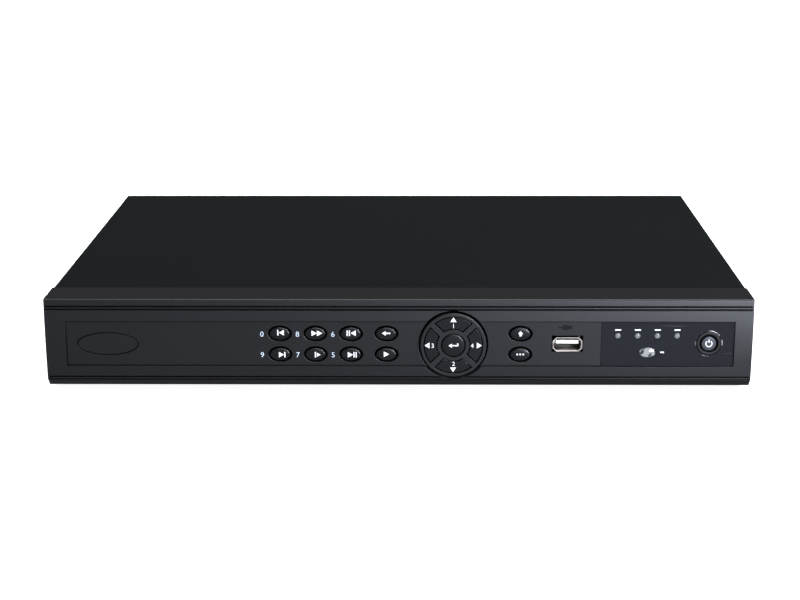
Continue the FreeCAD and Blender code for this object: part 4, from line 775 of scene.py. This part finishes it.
class RECORDER_OT_power(bpy.types.Operator):
    """Make the power button and the stepped ring round it"""

    bl_idname = "recorder.make_power"
    bl_label = "Power button"

    def execute(self, context):
        sizes = context.scene.recorder_sizes
        finishes = prepare()
        low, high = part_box("power_button")
        ring_low, ring_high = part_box("power_ring")
        flange = ring_high.y + FLANGE_GAP
        lip = (high.x - low.x) / 2 - sizes.power_radius
        rings = capped_button(
            sizes.power_radius,
            sizes.power_radius,
            low.y,
            POWER_DOME,
            POWER_EDGE,
            flange,
            lip,
            flange + FLANGE_THICKNESS,
            STEM_RADIUS,
            high.y,
        )
        vertices, faces = lathe(POWER, rings)
        dark = finishes["power_key_abs"]
        button = new_piece("power_button_cap", vertices, faces, dark, "power_button")
        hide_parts("power_button")

        outer = sizes.ring_radius
        step = outer - sizes.ring_band
        bore = sizes.power_radius + POWER_GAP
        seat = (ring_high.x - ring_low.x) / 2
        seat_front = ring_high.y - RING_SEAT
        front = ring_low.y
        loop = [
            (bore, ring_high.y),
            (bore, front + RING_STEP),
            (step, front + RING_STEP),
            (step, front),
            (outer, front),
            (outer, seat_front),
            (seat, seat_front),
            (seat, ring_high.y),
            (bore, ring_high.y),
        ]
        radii = [0.1 * MM, 0.1 * MM, 0.3 * MM, 0.45 * MM, 0.1 * MM, 0.1 * MM, 0.1 * MM]
        path = softened(loop, radii)[:-1]
        rings = np.stack([path[:, 0], path[:, 0], path[:, 1]], axis=-1)
        vertices, faces = lathe(POWER, rings, ring_shaped=True)
        ring = new_piece("power_ring_band", vertices, faces, finishes["ring_abs"], "case")
        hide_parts("power_ring")
        return {"FINISHED"}


def lamp_centres():
    """Middles of the indicator lamps at depth 0, left to right."""
    low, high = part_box("status_leds")
    radius = bpy.context.scene.recorder_sizes.lamp_radius
    first = low.x + radius + LAMP_COLLAR
    last = high.x - radius - LAMP_COLLAR
    z = (low.z + high.z) / 2
    return [Vector((first + (last - first) * n / (LAMP_COUNT - 1), 0, z)) for n in range(LAMP_COUNT)]


LAMP_DOME = 0.55 * MM
LENS_DOME = 0.25 * MM
LENS_EDGE = 0.9 * MM
LENS_LIP = 1.0 * MM
LENS_BACK = 0.01 * MM
LENS_STUD = 0.5 * MM


class RECORDER_OT_lamps(bpy.types.Operator):
    """Make the indicator lamps and the oval lens of the remote eye"""

    bl_idname = "recorder.make_lamps"
    bl_label = "Lamps and remote eye"

    def execute(self, context):
        sizes = context.scene.recorder_sizes
        finishes = prepare()
        low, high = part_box("status_leds")
        radius = sizes.lamp_radius
        collar = radius + LAMP_COLLAR
        collar_front = low.y + LAMP_BODY
        collar_back = collar_front + LAMP_COLLAR_THICKNESS
        u = np.linspace(0.05, 1, 10)
        dome = np.stack([radius * u, radius * u, low.y + LAMP_DOME * u**4], axis=-1)
        tail = [
            (radius, radius, collar_front),
            (collar, collar, collar_front),
            (collar, collar, collar_back),
            (LAMP_LEG_RADIUS, LAMP_LEG_RADIUS, collar_back),
            (LAMP_LEG_RADIUS, LAMP_LEG_RADIUS, high.y),
        ]
        rings = np.vstack([dome, tail])
        parts = [lathe(centre, rings, sides=48) for centre in lamp_centres()]
        offset = 0
        faces = []
        for vertices, part_faces in parts:
            faces += [[index + offset for index in f] for f in part_faces]
            offset += len(vertices)
        everything = np.vstack([vertices for vertices, _ in parts])
        milky = finishes["lamp_plastic"]
        lamps = new_piece("indicator_lamps", everything, faces, milky, "case")
        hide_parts("status_leds")

        low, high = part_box("ir_lens")
        rings = capped_button(
            sizes.lens_half_width,
            sizes.lens_half_height,
            low.y,
            LENS_DOME,
            LENS_EDGE,
            high.y - FLANGE_THICKNESS,
            LENS_LIP,
            high.y - LENS_BACK,
            LENS_STUD,
            high.y,
        )
        vertices, faces = lathe(middle("ir_lens"), rings)
        lens = new_piece("remote_eye_lens", vertices, faces, finishes["smoked_lens"], "case")
        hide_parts("ir_lens")
        return {"FINISHED"}


def key_icons():
    """Outlines of the keys' symbols, about the middle of each key, in millimetres."""
    tall = 2.95
    return {
        "key_0": [bar(-0.95, 0.7, 0.6, tall), triangle(0.85, 0.7, 2.6, tall, "left")],
        "key_8": [triangle(-0.55, 0.4, 2.75, tall, "right"), triangle(2.2, 0.4, 2.75, tall, "right")],
        "key_6": [
            bar(-1.85, 0.5, 0.6, tall),
            bar(-0.7, 0.5, 0.6, tall),
            triangle(1.2, 0.5, 2.7, tall, "left"),
        ],
        "key_9": [triangle(0.65, 0, 2.6, tall, "right"), bar(2.35, 0, 0.6, tall)],
        "key_7": [bar(-0.1, 0, 0.6, tall), triangle(1.6, 0, 2.0, 2.1, "right")],
        "key_5": [triangle(-0.3, 0, 2.7, tall, "right"), bar(1.5, 0, 0.55, tall), bar(2.6, 0, 0.55, tall)],
        "key_esc": [triangle(-1.3, 0.4, 1.9, 2.4, "left"), bar(0.8, 0.4, 2.3, 0.7)],
        "key_play": [triangle(0, 0.3, 2.7, tall, "right")],
        "key_shift": [triangle(0, 0.9, 1.6, 2.6, "up"), bar(0, -0.5, 1.1, 1.2)],
        "key_fn": [bar(-1.5, 0.3, 0.8, 0.8), bar(0, 0.3, 0.8, 0.8), bar(1.5, 0.3, 0.8, 0.8)],
        "key_enter": [triangle(-1.6, 0, 1.8, 2.2, "left"), bar(0.6, 0, 2.6, 0.6), bar(2.2, 0.45, 0.6, 1.5)],
    }


DIGIT_LEFT = 9.15 * MM
DIGIT_DROP = 0.2 * MM
PAD_DIGIT_HEIGHT = 2.35 * MM
HEAD_LENGTH = 2.5 * MM
HEAD_WIDTH = 3.1 * MM
DASH_RISE = 3.15 * MM
DASH_HEIGHT = 0.7 * MM
LAMP_DASH = 3.0 * MM
EYE_DASH = 2.0 * MM
# On each arrow key: which way the head points, the digit, and how far each lies from the pad's middle, in
# millimetres: the head across and up, then the digit across and up.
PAD_PRINTS = {
    "nav_up": ("up", "1", (0.0, 13.6), (0.0, 10.4)),
    "nav_down": ("down", "2", (-0.1, -13.1), (0.1, -9.8)),
    "nav_left": ("left", "3", (-13.4, -0.1), (-10.5, -0.1)),
    "nav_right": ("right", "4", (13.2, -0.1), (9.6, -0.1)),
}


class RECORDER_OT_legends(bpy.types.Operator):
    """Print the plain symbols and digits on the keys and the panel"""

    bl_idname = "recorder.make_legends"
    bl_label = "Legends"

    def execute(self, context):
        sizes = context.scene.recorder_sizes
        finishes = prepare()
        white = finishes["legend"]
        for key, outlines in key_icons().items():
            centre = middle(key)
            shapes = [outline(key, [np.asarray(o) * MM + (centre.x, centre.z)]) for o in outlines]
            printed(key + "_symbol", shapes, white, key, facing_front(face(key) - PRINT_LIFT))
        for key, (direction, digit, (head_x, head_z), (digit_x, digit_z)) in PAD_PRINTS.items():
            head = triangle(PAD.x + head_x * MM, PAD.z + head_z * MM, HEAD_LENGTH, HEAD_WIDTH, direction)
            shapes = [
                outline(key, [head]),
                numeral(digit, PAD.x + digit_x * MM, PAD.z + digit_z * MM, PAD_DIGIT_HEIGHT),
            ]
            printed(key + "_symbol", shapes, white, key, facing_front(face(key) - PRINT_LIFT))

        digits = []
        for key in DIGIT_KEYS:
            centre = middle(key)
            digits.append(numeral(key[-1], centre.x - DIGIT_LEFT, centre.z - DIGIT_DROP, sizes.digit_height))
        panel = facing_front(PANEL_FACE - PRINT_LIFT)
        printed("panel_digits", digits, finishes["digit"], "case", panel)

        eye = middle("ir_lens")
        places = [(centre.x, centre.z + DASH_RISE, LAMP_DASH) for centre in lamp_centres()]
        places.append((eye.x + 7.3 * MM, eye.z + 0.15 * MM, EYE_DASH))
        dashes = [outline("dash", [bar(x, z, width, DASH_HEIGHT)]) for x, z, width in places]
        printed("window_dashes", dashes, white, "case", facing_front(WINDOW_FACE - PRINT_LIFT))

        ring = arc_band(POWER.x, POWER.z + 0.05 * MM, 1.3 * MM, 1.8 * MM, 125, 415)
        stroke = bar(POWER.x, POWER.z + 1.5 * MM, 0.5 * MM, 1.7 * MM)
        symbol = [outline("power_arc", [ring]), outline("power_stroke", [stroke])]
        button_face = facing_front(face("power_button") - PRINT_LIFT)
        printed("power_symbol", symbol, white, "power_button", button_face)
        return {"FINISHED"}


MARK_LIFT = 0.03 * MM


class RECORDER_OT_marks(bpy.types.Operator):
    """Raise the plain plug mark over the front socket"""

    bl_idname = "recorder.make_marks"
    bl_label = "Raised mark"

    def execute(self, context):
        finishes = prepare()
        socket = middle("front_usb_shell")
        x = socket.x - 0.6 * MM
        z = socket.z + 9.0 * MM
        plug = [
            bar(x - 0.6 * MM, z, 3.0 * MM, 2.4 * MM),
            bar(x + 1.9 * MM, z, 1.8 * MM, 1.6 * MM),
            bar(x - 3.2 * MM, z, 2.0 * MM, 0.6 * MM),
        ]
        shapes = [outline("plug", [part]) for part in plug]
        panel = facing_front(PANEL_FACE - MARK_LIFT)
        printed("plug_mark", shapes, finishes["emboss"], "case", panel)
        return {"FINISHED"}


def lamp(name, place_at, target, size, power, colour=(1, 1, 1)):
    """A soft square light aimed at a point."""
    light = bpy.data.lights.new(name, "AREA")
    light.shape = "SQUARE"
    light.size = size
    light.energy = power
    light.color = colour
    item = bpy.data.objects.new(name, light)
    bpy.context.scene.collection.objects.link(item)
    aim = Vector(target) - Vector(place_at)
    item.rotation_euler = aim.to_track_quat("-Z", "Y").to_euler()
    item.location = place_at


class RECORDER_OT_stage(bpy.types.Operator):
    """Set the camera, the lights and the pale floor"""

    bl_idname = "recorder.make_stage"
    bl_label = "Stage"

    def execute(self, context):
        self.camera(context)
        self.floor()
        self.lights(context)
        return {"FINISHED"}

    def camera(self, context):
        """Looks down on the front from 0.81 m away."""
        data = bpy.data.cameras.new("camera")
        data.sensor_width = 36.0
        data.lens = 72.36
        yaw = math.radians(-0.894)
        pitch = math.radians(16.36)
        roll = math.radians(-0.20)
        ahead = Vector((math.sin(yaw) * math.cos(pitch), math.cos(yaw) * math.cos(pitch), -math.sin(pitch)))
        right = Vector((math.cos(yaw), -math.sin(yaw), 0))
        up = right.cross(ahead)
        rolled_right = math.cos(roll) * right + math.sin(roll) * up
        rolled_up = math.cos(roll) * up - math.sin(roll) * right
        turn = Matrix((rolled_right, rolled_up, -ahead)).transposed().to_4x4()
        turn.translation = Vector((0.0133, CROWN_Y - 0.7787, TOP_Z + 0.2286))
        item = bpy.data.objects.new("camera", data)
        item.matrix_world = turn
        context.scene.collection.objects.link(item)
        context.scene.camera = item

    def floor(self):
        """A wide pale floor with a faint grain that gives off white light and shows in no reflection."""
        reach = 8.0
        mesh = bpy.data.meshes.new("floor")
        corners = [(-reach, -reach, 0), (reach, -reach, 0), (reach, reach, 0), (-reach, reach, 0)]
        mesh.from_pydata(corners, [], [(0, 1, 2, 3)])
        pale = linear("#f4f4f4")
        glow = {"Specular_IOR_Level": 0.1, "Emission_Strength": 0.9}
        material, tree, shader = finish("floor_paper", pale, 0.9, **glow)
        shader.inputs["Emission Color"].default_value = linear("#ffffff")
        mottle(tree, shader, 4, linear("#f1f1f1"), linear("#f6f6f6"))
        mesh.materials.append(material)
        floor = bpy.data.objects.new("floor", mesh)
        bpy.context.scene.collection.objects.link(floor)
        floor.visible_glossy = False

    def lights(self, context):
        """An overhead wash, a small light at the upper right, a low one in front and a small one behind."""
        world = bpy.data.worlds.new("studio")
        context.scene.world = world
        world.use_nodes = True
        sky = world.node_tree.nodes["Background"]
        sky.inputs["Color"].default_value = linear("#ffffff")
        sky.inputs["Strength"].default_value = 0.1
        sun = bpy.data.lights.new("overhead", "SUN")
        sun.energy = 3.25
        sun.angle = math.radians(60)
        item = bpy.data.objects.new("overhead", sun)
        item.rotation_euler = (math.radians(8), math.radians(14), 0)
        context.scene.collection.objects.link(item)
        middle_front = Vector((0.05, CROWN_Y, TOP_Z / 2))
        key_light = middle_front + Vector((0.62, -0.30, 0.72))
        lamp("key_light", key_light, middle_front, 0.1, 4.0)
        rear = Vector((0, REAR_FACE, TOP_Z / 2))
        lamp("rear_light", rear + Vector((-0.5, 1.0, -0.01)), rear, 0.03, 6.0)
        turn = math.radians(21)
        front_light = middle_front + Vector((math.sin(turn), -math.cos(turn), 0.035)) * 2.0
        lamp("front_light", front_light, middle_front, 0.4, 44.0, (0.9, 0.95, 1.1))


class RECORDER_PT_panel(bpy.types.Panel):
    """Lists the steps that build the recorder's looks"""

    bl_idname = "RECORDER_PT_panel"
    bl_label = "Recorder"
    bl_space_type = "VIEW_3D"
    bl_region_type = "UI"
    bl_category = "Recorder"

    def draw(self, context):
        layout = self.layout
        for operator in OPERATORS:
            layout.operator(operator.bl_idname)
        for settings in (context.scene.recorder_sizes, context.scene.recorder_colours):
            for name in settings.bl_rna.properties.keys():
                if name not in ("rna_type", "name"):
                    layout.prop(settings, name)


OPERATORS = (
    RECORDER_OT_stage,
    RECORDER_OT_case,
    RECORDER_OT_keys,
    RECORDER_OT_power,
    RECORDER_OT_lamps,
    RECORDER_OT_legends,
    RECORDER_OT_marks,
)
CLASSES = (RecorderSizes, RecorderColours, *OPERATORS, RECORDER_PT_panel)


def register():
    """Adds the classes and the settings."""
    for item in CLASSES:
        bpy.utils.register_class(item)
    bpy.types.Scene.recorder_sizes = PointerProperty(type=RecorderSizes)
    bpy.types.Scene.recorder_colours = PointerProperty(type=RecorderColours)


def unregister():
    """Removes the settings and the classes."""
    del bpy.types.Scene.recorder_colours
    del bpy.types.Scene.recorder_sizes
    for item in reversed(CLASSES):
        bpy.utils.unregister_class(item)


def main():
    """Builds everything in order."""
    register()
    bpy.context.scene.view_settings.view_transform = "Standard"
    for operator in OPERATORS:
        group, name = operator.bl_idname.split(".")
        getattr(getattr(bpy.ops, group), name)()


if __name__ == "__main__":
    main()
